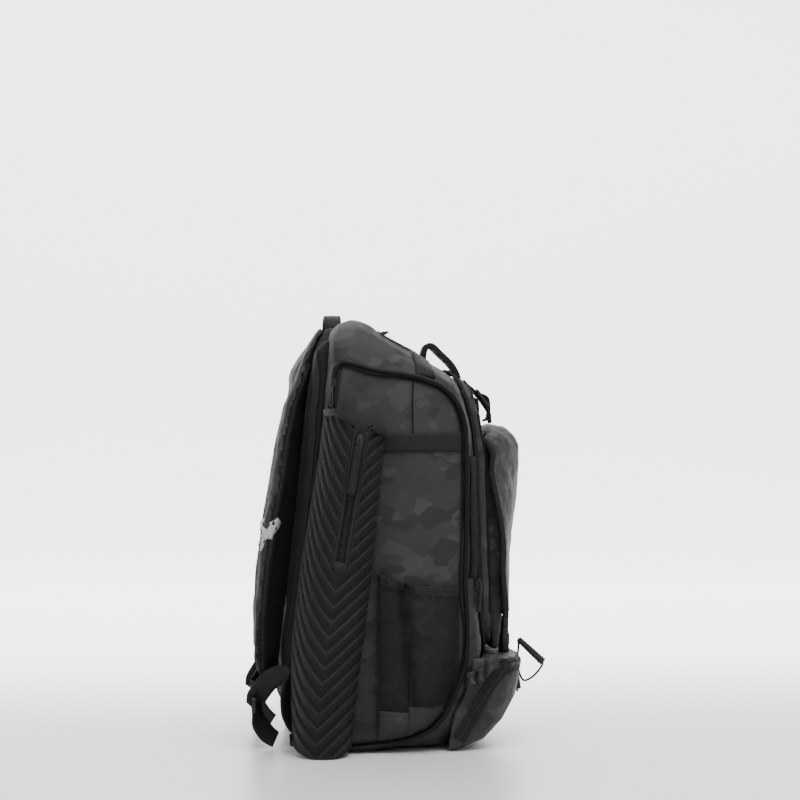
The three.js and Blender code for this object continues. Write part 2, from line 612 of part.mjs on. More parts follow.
// Front compartment: a shallow box in front of the gusset, open toward the bag
const inFront = (outline) => prism(outline, 'y', -bodyDepth, -bodyDepth * 0.25);
const frontFoot = lowerHeight + zipTape + 2;
const frontArch = (grow) => inFront(roundRectangle(
  frontWidth + 2 * grow, frontHeight + 2 * grow, frontCorner + grow, 0, frontFoot + frontHeight / 2));
const frontHollow = bodySolid(frontThickness - frontWall).intersect(frontArch(-frontWall));
addPiece('front_compartment', bodyLayer(frontArch(0), frontThickness).subtract(frontHollow), 'cloth');

// Arched front zip round the compartment
const zipRing = (inner, outer) => frontArch(outer).subtract(frontArch(inner));
addPiece('front_zip', bodyLayer(zipRing(clearance, zipTape), frontThickness * 0.5), 'webbing');
const zipOuter = frontWidth / 2 + zipTape + clearance;

// Hook-and-loop strips on the corner of the gusset, and the front zip's pulls below them
for (const { name, way } of sides) {
  const column = (inner, outer, low, high) => inFront([
    [way * inner, low], [way * outer, low], [way * outer, high], [way * inner, high]]);
  const stripFoot = bandHeight - 2 - stripLength;
  addPiece(`loop_strip_${name}`, bodyLayer(
    column(zipOuter + 1, half - 2, stripFoot, stripFoot + stripLength), clothThickness * 1.5), 'webbing');
  addPiece(`front_pull_${name}`, join(
    bodyLayer(column(zipOuter + 2, zipOuter + 14, stripFoot - 18, stripFoot - 2), coilHeight * 2),
    bodyLayer(column(zipOuter + 5, zipOuter + 11, stripFoot - 44, stripFoot - 16), coilHeight)), 'plastic');
}

// Flap over the front pocket: rows down the flap with its reach in the middle and at its side hems.
const flapRows = [
  { down: 0.03, mid: -0.05, side: -0.05, fall: 1 },
  { down: 0, mid: 0.42, side: 0.03, fall: 1 },
  { down: 0.015, mid: 0.76, side: 0.08, fall: 1 },
  { down: 0.06, mid: 0.93, side: 0.14, fall: 0.8 },
  { down: 0.11, mid: 1, side: 0.18, fall: 0.6 },
  { down: 0.24, mid: 0.92, side: 0.14, fall: 0.2 },
  { down: 0.42, mid: 0.8, side: 0.25, fall: 0 },
  { down: 0.6, mid: 0.66, side: 0.34, fall: 0 },
  { down: 0.76, mid: 0.58, side: 0.31, fall: 0 },
  { down: 0.9, mid: 0.48, side: 0.34, fall: 0 },
  { down: 1, mid: 0.4, side: 0.34, fall: 0 },
];
const flapColumns = [-1, -0.85, -0.65, -0.4, 0, 0.4, 0.65, 0.85, 1];
const flapFoot = lowerHeight + buckleHeight + 2;
const flapHeight = flapTop - flapFoot;
const frontFace = (z) => frontY(z) - clearance - frontThickness;
function flapPoint(row, column, lift, width) {
  const turn = Math.abs(column * (width / flapWidth)) ** 2.2;
  const z = flapTop - row.down * flapHeight - row.fall * flapFall * turn;
  const lean = row.down < 0.05 ? 1 : 0.25;
  return vector((column * width) / 2, frontFace(z) - mix(row.mid, row.side, turn) * flapReach - lift, z + lift * lean);
}
const flapGrid = (rows, lift, width) => rows.map((row) => flapColumns.map((column) => flapPoint(row, column, lift, width)));
const frontSeat = bodySolid(2 * clearance + frontThickness);
addPiece('front_flap', slab(flapGrid(flapRows, 0, flapWidth), flapGrid(flapRows, -flapWall, flapWidth))
  .subtract(frontSeat), 'cloth');
const flapSeat = slab(flapGrid(flapRows, clearance, flapWidth), flapGrid(flapRows, -flapWall - clearance, flapWidth));

// Front pocket under the flap, open on top
const pocketFootShare = 1.16;
const pocketFlapRows = [...flapRows.slice(4).map((row) => ({ ...row, fall: 0 })),
  { down: pocketFootShare, mid: 0.26, side: 0.26, fall: 0 }];
const sunk = (lift) => -flapWall - 2 - lift;
const innerRows = [{ ...pocketFlapRows[0], down: 0 }, ...pocketFlapRows.slice(1, -1),
  { ...pocketFlapRows[pocketFlapRows.length - 1], down: pocketFootShare - 0.02 }];
const deep = (rows, width) => flapGrid(rows, 0, width).map((row) => row.map((point) => point.clone().setY(-bodyDepth / 3)));
const frontPocketWidth = flapWidth - 24;
addPiece('front_pocket', slab(flapGrid(pocketFlapRows, sunk(0), frontPocketWidth), deep(pocketFlapRows, frontPocketWidth))
  .subtract(slab(flapGrid(innerRows, sunk(frontWall), frontPocketWidth - 2 * frontWall),
    deep(innerRows, frontPocketWidth - 2 * frontWall)))
  .subtract(frontSeat).subtract(flapSeat), 'cloth');
const pocketSeat = slab(flapGrid(pocketFlapRows, sunk(-clearance), frontPocketWidth), deep(pocketFlapRows, frontPocketWidth));

// Lower pocket round the front foot: reach in front of the bag by height, in shares of its height and reach.
const lowerRows = [
  { up: 0.002, reach: 0.62 },
  { up: 0.09, reach: 0.76 },
  { up: 0.3, reach: 0.9 },
  { up: 0.55, reach: 1 },
  { up: 0.8, reach: 0.98 },
  { up: 0.95, reach: 0.88 },
  { up: 1, reach: 0.78 },
];
const lowerColumns = [-1, -0.97, -0.9, -0.78, -0.5, 0, 0.5, 0.78, 0.9, 0.97, 1];
function lowerSolid(lift, foot = 0) {
  const width = lowerWidth / 2 + lift;
  const grid = (front) => lowerRows.map(({ up, reach }, i) => lowerColumns.map((column) => {
    const z = Math.max(up * lowerHeight, foot) + (i === lowerRows.length - 1 ? lift : 0);
    const out = reach * lowerReach * (1 - column ** 4) ** 0.5 + lift;
    return vector(column * width, front ? frontY(z) - out : -bodyDepth / 4, z);
  }));
  return slab(grid(true), grid(false));
}
// Rear edge of the lower pocket seen from the side, in shares of depth and of the pocket's height
const lowerRear = [[-0.43, 1.3], [-0.44, 0.7], [-0.4, 0.3], [-0.365, -0.1], [-1, -0.1], [-1, 1.3]];
const lowerPlace = prism(lowerRear.map(([y, z]) => [y * bodyDepth, z * lowerHeight]), 'x', -bodyWidth, bodyWidth);
addPiece('lower_pocket', lowerSolid(0).subtract(lowerSolid(-frontWall, frontWall)).subtract(seat)
  .subtract(weltSolid(-1, clearance)).subtract(weltSolid(1, clearance)).intersect(lowerPlace), 'cloth');

// Broad zip round the lower pocket's sides and top
const lowerArch = (inset) => inFront(roundRectangle(
  lowerWidth * lowerZipShare - 2 * inset, lowerHeight * 2 - 2 * inset - 6, frontCorner / 2, 0, 0));
const lowerLayer = (region, thickness) => lowerSolid(clearance + thickness).subtract(lowerSolid(clearance))
  .intersect(region).subtract(seat);
const aboveFoot = inFront([[-bodyWidth, 2], [bodyWidth, 2], [bodyWidth, bodyHeight], [-bodyWidth, bodyHeight]]);
const lowerRing = (from, to) => lowerArch(from).subtract(lowerArch(to)).intersect(aboveFoot);
addPiece('lower_zip', lowerLayer(lowerRing(0, lowerZipWidth), coilHeight * 1.2), 'webbing');

// Ruffled upper edge of the lower pocket's side, in shares of depth and height
const ruffleRows = [
  { y: -0.475, z: 0.155, wave: 0.2 }, { y: -0.5, z: 0.172, wave: 1 }, { y: -0.525, z: 0.178, wave: -0.4 },
  { y: -0.55, z: 0.18, wave: 0.9 }, { y: -0.57, z: 0.19, wave: 0 }, { y: -0.6, z: 0.204, wave: 1 },
  { y: -0.64, z: 0.216, wave: 0.3 },
];
for (const { name, way } of sides) {
  const edge = (lift, drop) => ruffleRows.map((row) => vector(
    way * (lowerWidth / 2 + clearance + lift + ruffleWave * Math.max(row.wave, 0)),
    row.y * bodyDepth, row.z * bodyHeight - drop));
  addPiece(`lower_ruffle_${name}`, slab([edge(clothThickness, 0), edge(clothThickness, ruffleWidth)],
    [edge(0, 0), edge(-ruffleWave, ruffleWidth)])
    .subtract(lowerSolid(clearance)).subtract(seat).subtract(weltSolid(way, clearance)), 'cloth');
}

// Straps that hold the flap: a ladder lock above and a side-release buckle below, on either side
for (const { name, way } of sides) {
  const x = (way * frontStrapSpread) / 2;
  const strapTop = frontFoot + frontHeight - 4;
  const route = [
    [frontFace(strapTop - 14) - 1.4, strapTop - 14], [frontFace(strapTop - 4) - 4, strapTop - 4],
    [frontFace(strapTop) - 14, strapTop - 8], [frontFace(flapTop) - 16, flapTop + 16],
    [frontFace(flapTop) - 18, flapTop + 4], [frontFace(flapTop) - 19, flapTop + 1.6]];
  const path = route.map(([y, z]) => ({ at: vector(x, y, z) }));
  addPiece(`flap_strap_${name}`, ribbon(path, frontStrapWidth, webbingThickness)
    .subtract(frontSeat), 'webbing');
  const [from, to] = [path[2].at, path[3].at];
  const lean = Math.atan2(to.y - from.y, from.z - to.z);
  const lockShape = roundRectangle(frontStrapWidth + 6, frontStrapWidth + 6, 3);
  lockShape.holes.push(roundRectangle(frontStrapWidth - 1, 4, 1, 0, 5), roundRectangle(frontStrapWidth - 1, 4, 1, 0, -5));
  const lockPlace = new THREE.Matrix4().makeTranslation(
    ...from.clone().add(to).multiplyScalar(0.5).add(vector(0, -Math.cos(lean), Math.sin(-lean))
      .multiplyScalar(webbingThickness / 2 + clearance)).toArray())
    .multiply(new THREE.Matrix4().makeRotationX(Math.PI / 2 + lean));
  const lockPlate = new THREE.ExtrudeGeometry(lockShape, { depth: 4, bevelEnabled: false, curveSegments: 1 });
  addPiece(`flap_lock_${name}`, solidOf(lockPlate, lockPlace), 'plastic');

  const buckleY = frontFace(flapFoot) - 0.34 * flapReach + 2;
  const buckleFoot = lowerHeight + clearance;
  const outline = roundRectangle(buckleWidth, buckleHeight, 5, x, buckleFoot + buckleHeight / 2);
  outline.holes.push(roundRectangle(buckleWidth - 10, 5, 1, x, buckleFoot + buckleHeight - 7));
  addPiece(`flap_buckle_${name}`, prism(outline, 'y', buckleY - buckleThickness, buckleY, 2), 'plastic');
  const backing = buckleY + clearance + webbingThickness / 2;
  addPiece(`buckle_strap_${name}`, ribbon([
    { at: vector(x, backing, buckleFoot) }, { at: vector(x, backing, flapFoot) }],
  frontStrapWidth, webbingThickness).subtract(flapSeat).subtract(pocketSeat), 'webbing');
}

// Zip pulls of the lower zip: cord and rubber grip, one standing out and one hanging
const pullZ = lowerHeight * 0.9;
const pullY = frontY(pullZ) - readTable(lowerRows, 'up', pullZ / lowerHeight, 'reach') * lowerReach - coilHeight;
const pullRoutes = [
  { name: 'left', x: -12, lean: 0.8, out: [[-3, 2], [-8, 8]] },
  { name: 'right', x: 14, lean: -0.1, out: [[-4, -3], [-6, -12]] },
];
for (const { name, x, lean, out } of pullRoutes) {
  const start = vector(x, pullY + 1, pullZ);
  const knee = out.map(([y, z]) => vector(x, pullY + y, pullZ + z));
  const grip = vector(0, -Math.sin(lean), -Math.cos(lean));
  const end = knee[1].clone().addScaledVector(grip, gripLength);
  const cord = tube([start, ...knee, knee[1].clone().addScaledVector(grip, gripLength / 3)], pullCord, 6, 8);
  const gripGeometry = new THREE.CylinderGeometry(gripRadius, gripRadius * 0.8, gripLength, 8);
  const turn = new THREE.Quaternion().setFromUnitVectors(vector(0, 1, 0), grip);
  const gripPlace = new THREE.Matrix4().compose(knee[1].clone().add(end).multiplyScalar(0.5), turn, vector(1, 1, 1));
  const box = new THREE.BoxGeometry(9, 5, 11).translate(x, pullY - 2.5 + clearance, pullZ);
  addPiece(`lower_pull_${name}`, join(cord, solidOf(gripGeometry, gripPlace), solidOf(box))
    .subtract(lowerSolid(2 * clearance + coilHeight * 1.2)), 'plastic');
}

// Webbing tabs beside the mouth, in shares of depth and height
const tabOutline = [[-0.2, 0.9], [-0.262, 0.93], [-0.31, 0.885], [-0.25, 0.86]];
for (const { name, way } of sides) {
  const tabReach = [mouthWidth / 2 + zipTape + 1, half - 4].map((x) => way * x).sort((a, b) => a - b);
  const region = prism(tabOutline.map(([y, z]) => [y * bodyDepth, z * bodyHeight]), 'x', ...tabReach);
  addPiece(`mouth_tab_${name}`, bodyLayer(region, webbingThickness), 'webbing');
}

// Grab handle: an arch of padded webbing from the mouth's front to the front compartment
const handleStart = mouthY - mouthDepth / 2 - zipTape - 2;
const handleEnd = handleStart - handleLength;
const handleRoute = [[0, 0.02], [0.06, 0.7], [0.24, 1], [0.5, 0.92], [0.78, 0.62], [0.95, 0.2], [1, -0.1]];
const handlePath = handleRoute.map(([along, rise]) => {
  const y = mix(handleStart, handleEnd, along);
  return { at: vector(0, y, topZ(Math.max(y, -0.42 * bodyDepth)) + rise * handleRise) };
});
addPiece('grab_handle', ribbon(handlePath, handleWidth, handleThickness)
  .subtract(frontSeat.intersect(frontArch(clearance))).subtract(bodySolid(clothThickness + coilHeight)), 'webbing');

// Haul loop across the top, behind the mouth
const haulY = stations[11].mid[0] * bodyDepth;
const haulPath = [-1, -0.82, -0.5, 0, 0.5, 0.82, 1].map((share) => ({
  at: vector((share * haulSpan) / 2, haulY, topZ(haulY) - haulSeat + (haulRise + haulSeat) * (1 - share ** 4) ** 0.6),
  across: vector(0, 1, 0),
}));
addPiece('haul_loop', ribbon(haulPath, haulWidth, webbingThickness * 1.6).subtract(seat), 'webbing');

// Shoulder straps with their reflective tabs, ladder locks, webbing and anchors
for (const { name, way } of sides) {
  const strap = strapSolid(way, 0);
  const strapSeat = strapSolid(way, clearance);
  addPiece(`shoulder_strap_${name}`, strap.subtract(seat), 'mesh');
  const [tabIn, tabOut] = [way * half * 0.35, way * half * 0.87];
  const tab = prism([[tabIn, tabTop - tabHeight], [tabOut, tabTop - tabHeight - tabRise], [tabOut, tabTop - tabRise],
    [tabIn, tabTop]], 'y', backY(tabTop) + padThickness + strapReach * 0.3, bodyDepth);
  addPiece(`reflective_tab_${name}`, strapSolid(way, clearance + clothThickness).subtract(strapSeat).intersect(tab),
    'reflective');

  const end = strapPoint(strapRows[strapRows.length - 1], way);
  const anchorX = half - 2 - webbingWidth / 2;
  const lock = vector(end.x, end.y + lockReach, end.z - lockDrop);
  const endX = Math.abs(end.x);
  // Places down the webbing from its anchor over its fold to the lock, and the way that its width lies
  const webbingRows = [
    { x: anchorX, y: backY(20) - 22, z: 22, wide: [1, 0, 0] },
    { x: anchorX, y: backY(20) + 6, z: 24, wide: [1, 0, 0] },
    { x: anchorX + 1, y: backY(40) + 11, z: 46, wide: [1, -0.1, 0] },
    { x: anchorX + 1, y: backY(70) + 7, z: lock.z + 16, wide: [1, -0.2, 0.3] },
    { x: anchorX - 1, y: backY(80) + 8, z: lock.z + 29, wide: [0.55, -0.3, 0.8] },
    { x: anchorX - 4, y: backY(80) + 17, z: lock.z + 35, wide: [0.25, 0, 1] },
    { x: mix(anchorX, endX, 0.3), y: lock.y - 21, z: lock.z + 33, wide: [0.2, 0.25, 1] },
    { x: mix(anchorX, endX, 0.6), y: lock.y - 20, z: lock.z + 25, wide: [0.6, 0.3, 0.8] },
    { x: mix(anchorX, endX, 0.95), y: lock.y - 7, z: lock.z + 16, wide: [1, 0, 0] },
    { x: endX, y: lock.y, z: lock.z, wide: [1, 0, 0] },
    { x: endX, y: lock.y - 3, z: lock.z - 18, wide: [1, 0, 0] },
    { x: endX - 2, y: lock.y - 12, z: lock.z - 35, wide: [1, 0, 0] },
    { x: endX - 2, y: lock.y - 24, z: lock.z - 46, wide: [1, 0, 0] },
  ];
  const webbing = webbingRows.map(({ x, y, z, wide }) => ({
    at: vector(way * x, y, z), across: vector(way * wide[0], wide[1], wide[2]) }));
  addPiece(`strap_webbing_${name}`, ribbon(webbing, webbingWidth, webbingThickness).subtract(seat), 'webbing');
  const lockShape = roundRectangle(webbingWidth + 8, lockHeight, 4, lock.x, lock.z);
  lockShape.holes.push(roundRectangle(webbingWidth, 4, 1, lock.x, lock.z + 5));
  lockShape.holes.push(roundRectangle(webbingWidth, 4, 1, lock.x, lock.z - 5));
  const lockY = lock.y + webbingThickness / 2 + 3 * clearance;
  addPiece(`strap_lock_${name}`, prism(lockShape, 'y', lockY, lockY + 4, 2), 'plastic');
  addPiece(`strap_tail_${name}`, ribbon([
    { at: vector(end.x, end.y, end.z + 3) }, { at: vector(end.x, end.y + 8, end.z - 8) },
    { at: vector(end.x, lockY + 2, lock.z + lockHeight / 2 + 3 * clearance) }],
  webbingWidth - 3, webbingThickness).subtract(strapSeat), 'webbing');
}

export default group;
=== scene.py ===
# Looks of a baseball bat backpack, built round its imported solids. Metres, Z up, the back toward +Y
import math

import bmesh
import bpy
from mathutils import Matrix, Vector, noise
from mathutils.bvhtree import BVHTree


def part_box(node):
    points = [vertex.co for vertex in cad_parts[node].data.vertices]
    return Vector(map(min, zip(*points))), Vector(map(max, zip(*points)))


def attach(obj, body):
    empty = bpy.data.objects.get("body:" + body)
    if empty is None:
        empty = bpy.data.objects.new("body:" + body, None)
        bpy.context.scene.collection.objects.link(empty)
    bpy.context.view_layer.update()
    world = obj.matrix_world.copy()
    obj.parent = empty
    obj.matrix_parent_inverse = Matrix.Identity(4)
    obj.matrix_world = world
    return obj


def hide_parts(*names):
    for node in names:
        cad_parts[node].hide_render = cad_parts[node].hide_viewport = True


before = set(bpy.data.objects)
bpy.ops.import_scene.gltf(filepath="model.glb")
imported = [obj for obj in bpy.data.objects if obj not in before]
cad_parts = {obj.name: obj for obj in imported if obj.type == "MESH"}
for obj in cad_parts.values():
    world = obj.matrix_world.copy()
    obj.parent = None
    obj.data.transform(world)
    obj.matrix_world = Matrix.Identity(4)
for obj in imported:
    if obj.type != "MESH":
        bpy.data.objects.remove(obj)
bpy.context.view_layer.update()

# Pale studio sweep, soft lights and the camera
# The floor runs up into a wall behind the bag, so no edge of it shows from the camera.
sweep_reach = 4.5
sweep_height = 4.0
camera_distance = 2.7
camera_turn = math.radians(4.5)
aim = Vector((0, -0.041, 0.363))
floor_tone = (0.86, 0.86, 0.875, 1)

bm = bmesh.new()
bmesh.ops.create_grid(bm, x_segments=1, y_segments=1, size=sweep_reach)
far_edge = [edge for edge in bm.edges if all(v.co.x > 0 for v in edge.verts)]
wall = bmesh.ops.extrude_edge_only(bm, edges=far_edge)["geom"]
bmesh.ops.translate(bm, verts=[v for v in wall if isinstance(v, bmesh.types.BMVert)],
                    vec=(0, 0, sweep_height))
corner = [edge for edge in bm.edges if all(v.co.x > 0 and v.co.z < 0.01 for v in edge.verts)]
bmesh.ops.bevel(bm, geom=corner, offset=1.6, segments=16, profile=0.5, affect="EDGES", material=-1)
bmesh.ops.translate(bm, verts=bm.verts, vec=(0, 0, -0.0005))
sweep_mesh = bpy.data.meshes.new("sweep")
bm.to_mesh(sweep_mesh)
bm.free()
for face in sweep_mesh.polygons:
    face.use_smooth = True
sweep = bpy.data.objects.new("sweep", sweep_mesh)
bpy.context.scene.collection.objects.link(sweep)
paper = bpy.data.materials.new("pale_paper")
paper.use_nodes = True
paper_shader = paper.node_tree.nodes["Principled BSDF"]
paper_shader.inputs["Base Color"].default_value = floor_tone
paper_shader.inputs["Roughness"].default_value = 0.32
paper_shader.inputs["Specular IOR Level"].default_value = 0.35
paper_tree = paper.node_tree
paper_parts = paper_tree.nodes.new("ShaderNodeSeparateXYZ")
paper_tree.links.new(paper_tree.nodes.new("ShaderNodeTexCoord").outputs["Object"], paper_parts.inputs[0])
paper_glow = paper_tree.nodes.new("ShaderNodeMapRange")
paper_glow.interpolation_type = "SMOOTHSTEP"
for socket, value in ((1, -0.1), (2, 1.3), (3, 0.0), (4, 2.6)):
    paper_glow.inputs[socket].default_value = value
paper_tree.links.new(paper_parts.outputs["X"], paper_glow.inputs[0])
paper_tree.links.new(paper_glow.outputs[0], paper_shader.inputs["Emission Strength"])
paper_shader.inputs["Emission Color"].default_value = (0.97, 0.98, 1, 1)
sweep_mesh.materials.append(paper)

sky = bpy.data.worlds.new("studio")
sky.use_nodes = True
sky.node_tree.nodes["Background"].inputs["Color"].default_value = (0.93, 0.95, 1, 1)
sky.node_tree.nodes["Background"].inputs["Strength"].default_value = 0.42
bpy.context.scene.world = sky

# Each lamp: name, place, size in metres and power in watts. All but the wall wash face the middle of the bag;
# the wall wash faces the wall behind it.
lamps = [
    ("soft_box_over", (-0.9, -0.3, 2.6), 1.5, 62),
    ("soft_box_camera_left", (-2.4, 1.9, 1.5), 1.4, 26),
    ("soft_box_camera_right", (-2.9, -0.9, 1.3), 1.4, 13),
    ("wall_wash", (1.6, 0, 2.8), 2.4, 30),
]
for name, place, size, power in lamps:
    lamp = bpy.data.lights.new(name, "AREA")
    lamp.size = size
    lamp.energy = power
    holder = bpy.data.objects.new(name, lamp)
    holder.location = place
    target = Vector((2.2, 0, 1.2)) if name == "wall_wash" else Vector((0, 0, 0.3))
    holder.rotation_euler = (target - holder.location).to_track_quat("-Z", "Y").to_euler()
    bpy.context.scene.collection.objects.link(holder)

camera_data = bpy.data.cameras.new("camera")
camera_data.lens = 95.6
camera_data.shift_y = 0.0625
camera = bpy.data.objects.new("camera", camera_data)
camera.location = aim + camera_distance * Vector((-math.cos(camera_turn), math.sin(camera_turn), 0))
camera.rotation_euler = (aim - camera.location).to_track_quat("-Z", "Y").to_euler()
bpy.context.scene.collection.objects.link(camera)
bpy.context.scene.camera = camera

# Main shell: padded panels of coated polyester in tonal camouflage, sewn at piped seams, with a plain lining
# It is one closed form that is cut open at its mouth, so the cloth runs on round its corners.
shell_wall = 0.003
shell_voxel = 0.0042
shell_centre = Vector((0, -0.01, 0.25))
mouth_centre = Vector((0, -0.018, 0))
mouth_size = (0.186, 0.08)
mouth_round = 0.026
camo_tones = [(0.0172, 0.0156, 0.0155), (0.0262, 0.0241, 0.0239), (0.0385, 0.0356, 0.0352)]


def add(tree, kind, sockets=None, **settings):
    """Adds a shader node. A socket is given a value or another node's output."""
    made = tree.nodes.new("ShaderNode" + kind)
    for key, value in settings.items():
        setattr(made, key, value)
    for key, value in (sockets or {}).items():
        if isinstance(value, bpy.types.NodeSocket):
            tree.links.new(value, made.inputs[key])
        else:
            made.inputs[key].default_value = value
    return made


def start_finish(name, roughness, sheen=0.0, specular=0.5, metallic=0.0):
    """A material with the values that are the same all over its surface."""
    material = bpy.data.materials.new(name)
    material.use_nodes = True
    shader = material.node_tree.nodes["Principled BSDF"]
    for socket, value in (("Roughness", roughness), ("Sheen Weight", sheen), ("Specular IOR Level", specular),
                          ("Metallic", metallic), ("Sheen Roughness", 0.4)):
        shader.inputs[socket].default_value = value
    return material, material.node_tree, shader


def sum_of(tree, operation, one, two):
    """The output of one maths step on sockets or numbers."""
    return add(tree, "Math", {0: one, 1: two}, operation=operation).outputs[0]


def wave(tree, value, pitch):
    """A sine along a length in metres, from -1 to 1."""
    turns = sum_of(tree, "MULTIPLY", value, 2 * math.pi / pitch)
    return add(tree, "Math", {0: turns}, operation="SINE").outputs[0]


def cloth_places(tree):
    """Lengths along and up the cloth from the object's own coordinates, and the coordinates themselves."""
    place = add(tree, "TexCoord").outputs["Object"]
    parts = add(tree, "SeparateXYZ", {0: place})
    return sum_of(tree, "ADD", parts.outputs["X"], parts.outputs["Y"]), parts.outputs["Z"], place


def ribbon_places(tree):
    """Lengths across and along a strip from its UV map, and the object's coordinates."""
    parts = add(tree, "SeparateXYZ", {0: add(tree, "UVMap", uv_map="UVMap").outputs["UV"]})
    return parts.outputs["X"], parts.outputs["Y"], add(tree, "TexCoord").outputs["Object"]


def speckle(tree, place, scale, low, high, detail=3.0):
    """A noise at a scale in cycles a metre, brought into a range."""
    grain = add(tree, "TexNoise", {"Vector": place, "Scale": scale, "Detail": detail})
    return add(tree, "MapRange", {0: grain.outputs["Fac"], 1: 0.25, 2: 0.75, 3: low, 4: high}).outputs[0]


def tinted(tree, shader, colour, factor):
    """Joins a colour, brightened or darkened by a factor, to the shader."""
    colour = colour[:3] if isinstance(colour, tuple) else colour
    made = add(tree, "VectorMath", {0: colour, "Scale": factor}, operation="SCALE")
    tree.links.new(made.outputs[0], shader.inputs["Base Color"])


def bumped(tree, shader, height, depth, strength=1.0):
    """Joins a height from 0 to 1 to the shader as a bump of a depth in metres."""
    made = add(tree, "Bump", {"Height": height, "Distance": depth, "Strength": strength})
    tree.links.new(made.outputs[0], shader.inputs["Normal"])


def camo_finish(name, places, weave=0.0009, gloss=0.56):
    """Coated polyester: woodland blobs in three dark tones, a fine plain weave painted lighter on its raised
    threads as painted shade, and rubbed patches.
    """
    material, tree, shader = start_finish(name, gloss, sheen=0.02, specular=0.3)
    along, up, place = places(tree)
    spread = add(tree, "Mapping", {"Vector": place, "Scale": (1, 1, 1.35)}).outputs[0]
    wander = add(tree, "TexNoise", {"Vector": spread, "Scale": 60.0, "Detail": 1.0})
    nudged = add(tree, "VectorMath", {0: spread, 1: add(
        tree, "VectorMath", {0: wander.outputs["Color"], "Scale": 0.016},
        operation="SCALE").outputs[0]}).outputs[0]
    tone = camo_tones[1] + (1,)
    for scale, edge, shift, shade in ((21.0, 0.58, 0.0, camo_tones[2]), (24.0, 0.57, 7.3, camo_tones[0]),
                                      (33.0, 0.64, 3.1, camo_tones[2])):
        moved = add(tree, "VectorMath", {0: nudged, 1: (shift, shift, shift)}).outputs[0]
        blob = add(tree, "TexNoise", {"Vector": moved, "Scale": scale, "Detail": 1.5, "Roughness": 0.45})
        mask = add(tree, "MapRange", {0: blob.outputs["Fac"], 1: edge, 2: edge + 0.02}).outputs[0]
        layer = add(tree, "Mix", data_type="RGBA")
        tree.links.new(mask, layer.inputs[0])
        if isinstance(tone, tuple):
            layer.inputs[6].default_value = tone
        else:
            tree.links.new(tone, layer.inputs[6])
        layer.inputs[7].default_value = shade + (1,)
        tone = layer.outputs[2]
    threads = sum_of(tree, "MULTIPLY", wave(tree, along, weave), wave(tree, up, weave))
    fibres = speckle(tree, place, 900.0, 0.86, 1.14)
    worn = speckle(tree, place, 14.0, 0.94, 1.07)
    # The weave's raised threads are painted a little lighter and its hollows darker, following the bump:
    # painted shade.
    weave_painted_shade = sum_of(tree, "ADD", sum_of(tree, "MULTIPLY", threads, 0.07), 1.0)
    factor = sum_of(tree, "MULTIPLY", sum_of(tree, "MULTIPLY", fibres, worn), weave_painted_shade)
    tinted(tree, shader, tone, factor)
    uneven = speckle(tree, place, 26.0, gloss - 0.07, gloss + 0.08)
    tree.links.new(uneven, shader.inputs["Roughness"])
    bumped(tree, shader, threads, weave * 0.12, 0.7)
    return material


def lining_finish(name, tone):
    """Plain woven lining."""
    material, tree, shader = start_finish(name, 0.7, sheen=0.02, specular=0.2)
    along, up, place = cloth_places(tree)
    threads = sum_of(tree, "MULTIPLY", wave(tree, along, 0.0008), wave(tree, up, 0.0008))
    tinted(tree, shader, tone, speckle(tree, place, 500.0, 0.8, 1.2))
    bumped(tree, shader, threads, 0.0001, 0.6)
    return material


camo_cloth = camo_finish("camo_cloth", cloth_places)
lining = lining_finish("lining", (0.03, 0.03, 0.032))


def merged_copy(node):
    """A bmesh with a merged copy of a node's mesh."""
    bm = bmesh.new()
    bm.from_mesh(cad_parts[node].data)
    bmesh.ops.remove_doubles(bm, verts=bm.verts, dist=1e-6)
    return bm


def link_mesh(name, bm):
    """A smooth-shaded object from a bmesh, which is used up."""
    mesh = bpy.data.meshes.new(name)
    bm.to_mesh(mesh)
    bm.free()
    for face in mesh.polygons:
        face.use_smooth = True
    made = bpy.data.objects.new(name, mesh)
    bpy.context.scene.collection.objects.link(made)
    return made


def settled(holder):
    """The bmesh that an object's modifiers make of it. The object is removed."""
    bpy.context.view_layer.update()
    graph = bpy.context.evaluated_depsgraph_get()
    mesh = bpy.data.meshes.new_from_object(holder.evaluated_get(graph))
    bm = bmesh.new()
    bm.from_mesh(mesh)
    bpy.data.meshes.remove(mesh)
    bpy.data.objects.remove(holder)
    return bm


def even_mesh(bm, voxel):
    """Remeshes a closed form in even squares."""
    holder = link_mesh("voxels", bm)
    remesh = holder.modifiers.new("voxels", "REMESH")
    remesh.mode = "VOXEL"
    remesh.voxel_size = voxel
    return settled(holder)


def smoothed(bm, rounds):
    """Evens out a surface."""
    for _ in range(rounds):
        bmesh.ops.smooth_vert(bm, verts=bm.verts, factor=0.5, use_axis_x=True, use_axis_y=True,
                              use_axis_z=True)
    return bm


def walled(made, thickness, offset=-1, inner_material=0):
    """Gives a sheet its thickness. An offset of 1 builds it up, -1 builds it inward, 0 both ways."""
    wall = made.modifiers.new("wall", "SOLIDIFY")
    wall.thickness = thickness
    wall.offset = offset
    wall.material_offset = inner_material
    return made


def bevelled(made, width, segments=3, angle=None):
    """Rounds the sharp edges of a piece."""
    edges = made.modifiers.new("edges", "BEVEL")
    edges.width, edges.segments, edges.limit_method = width, segments, "ANGLE"
    if angle:
        edges.angle_limit = angle
    return made


def round_cord(name, line, radius):
    """A round cord along a line."""
    data = bpy.data.curves.new(name, "CURVE")
    data.dimensions = "3D"
    spline = data.splines.new("POLY")
    spline.points.add(len(line) - 1)
    for point, at in zip(spline.points, line):
        point.co = (*at, 1)
    data.bevel_depth = radius
    data.bevel_resolution = 3
    made = bpy.data.objects.new(name, data)
    bpy.context.scene.collection.objects.link(made)
    return made


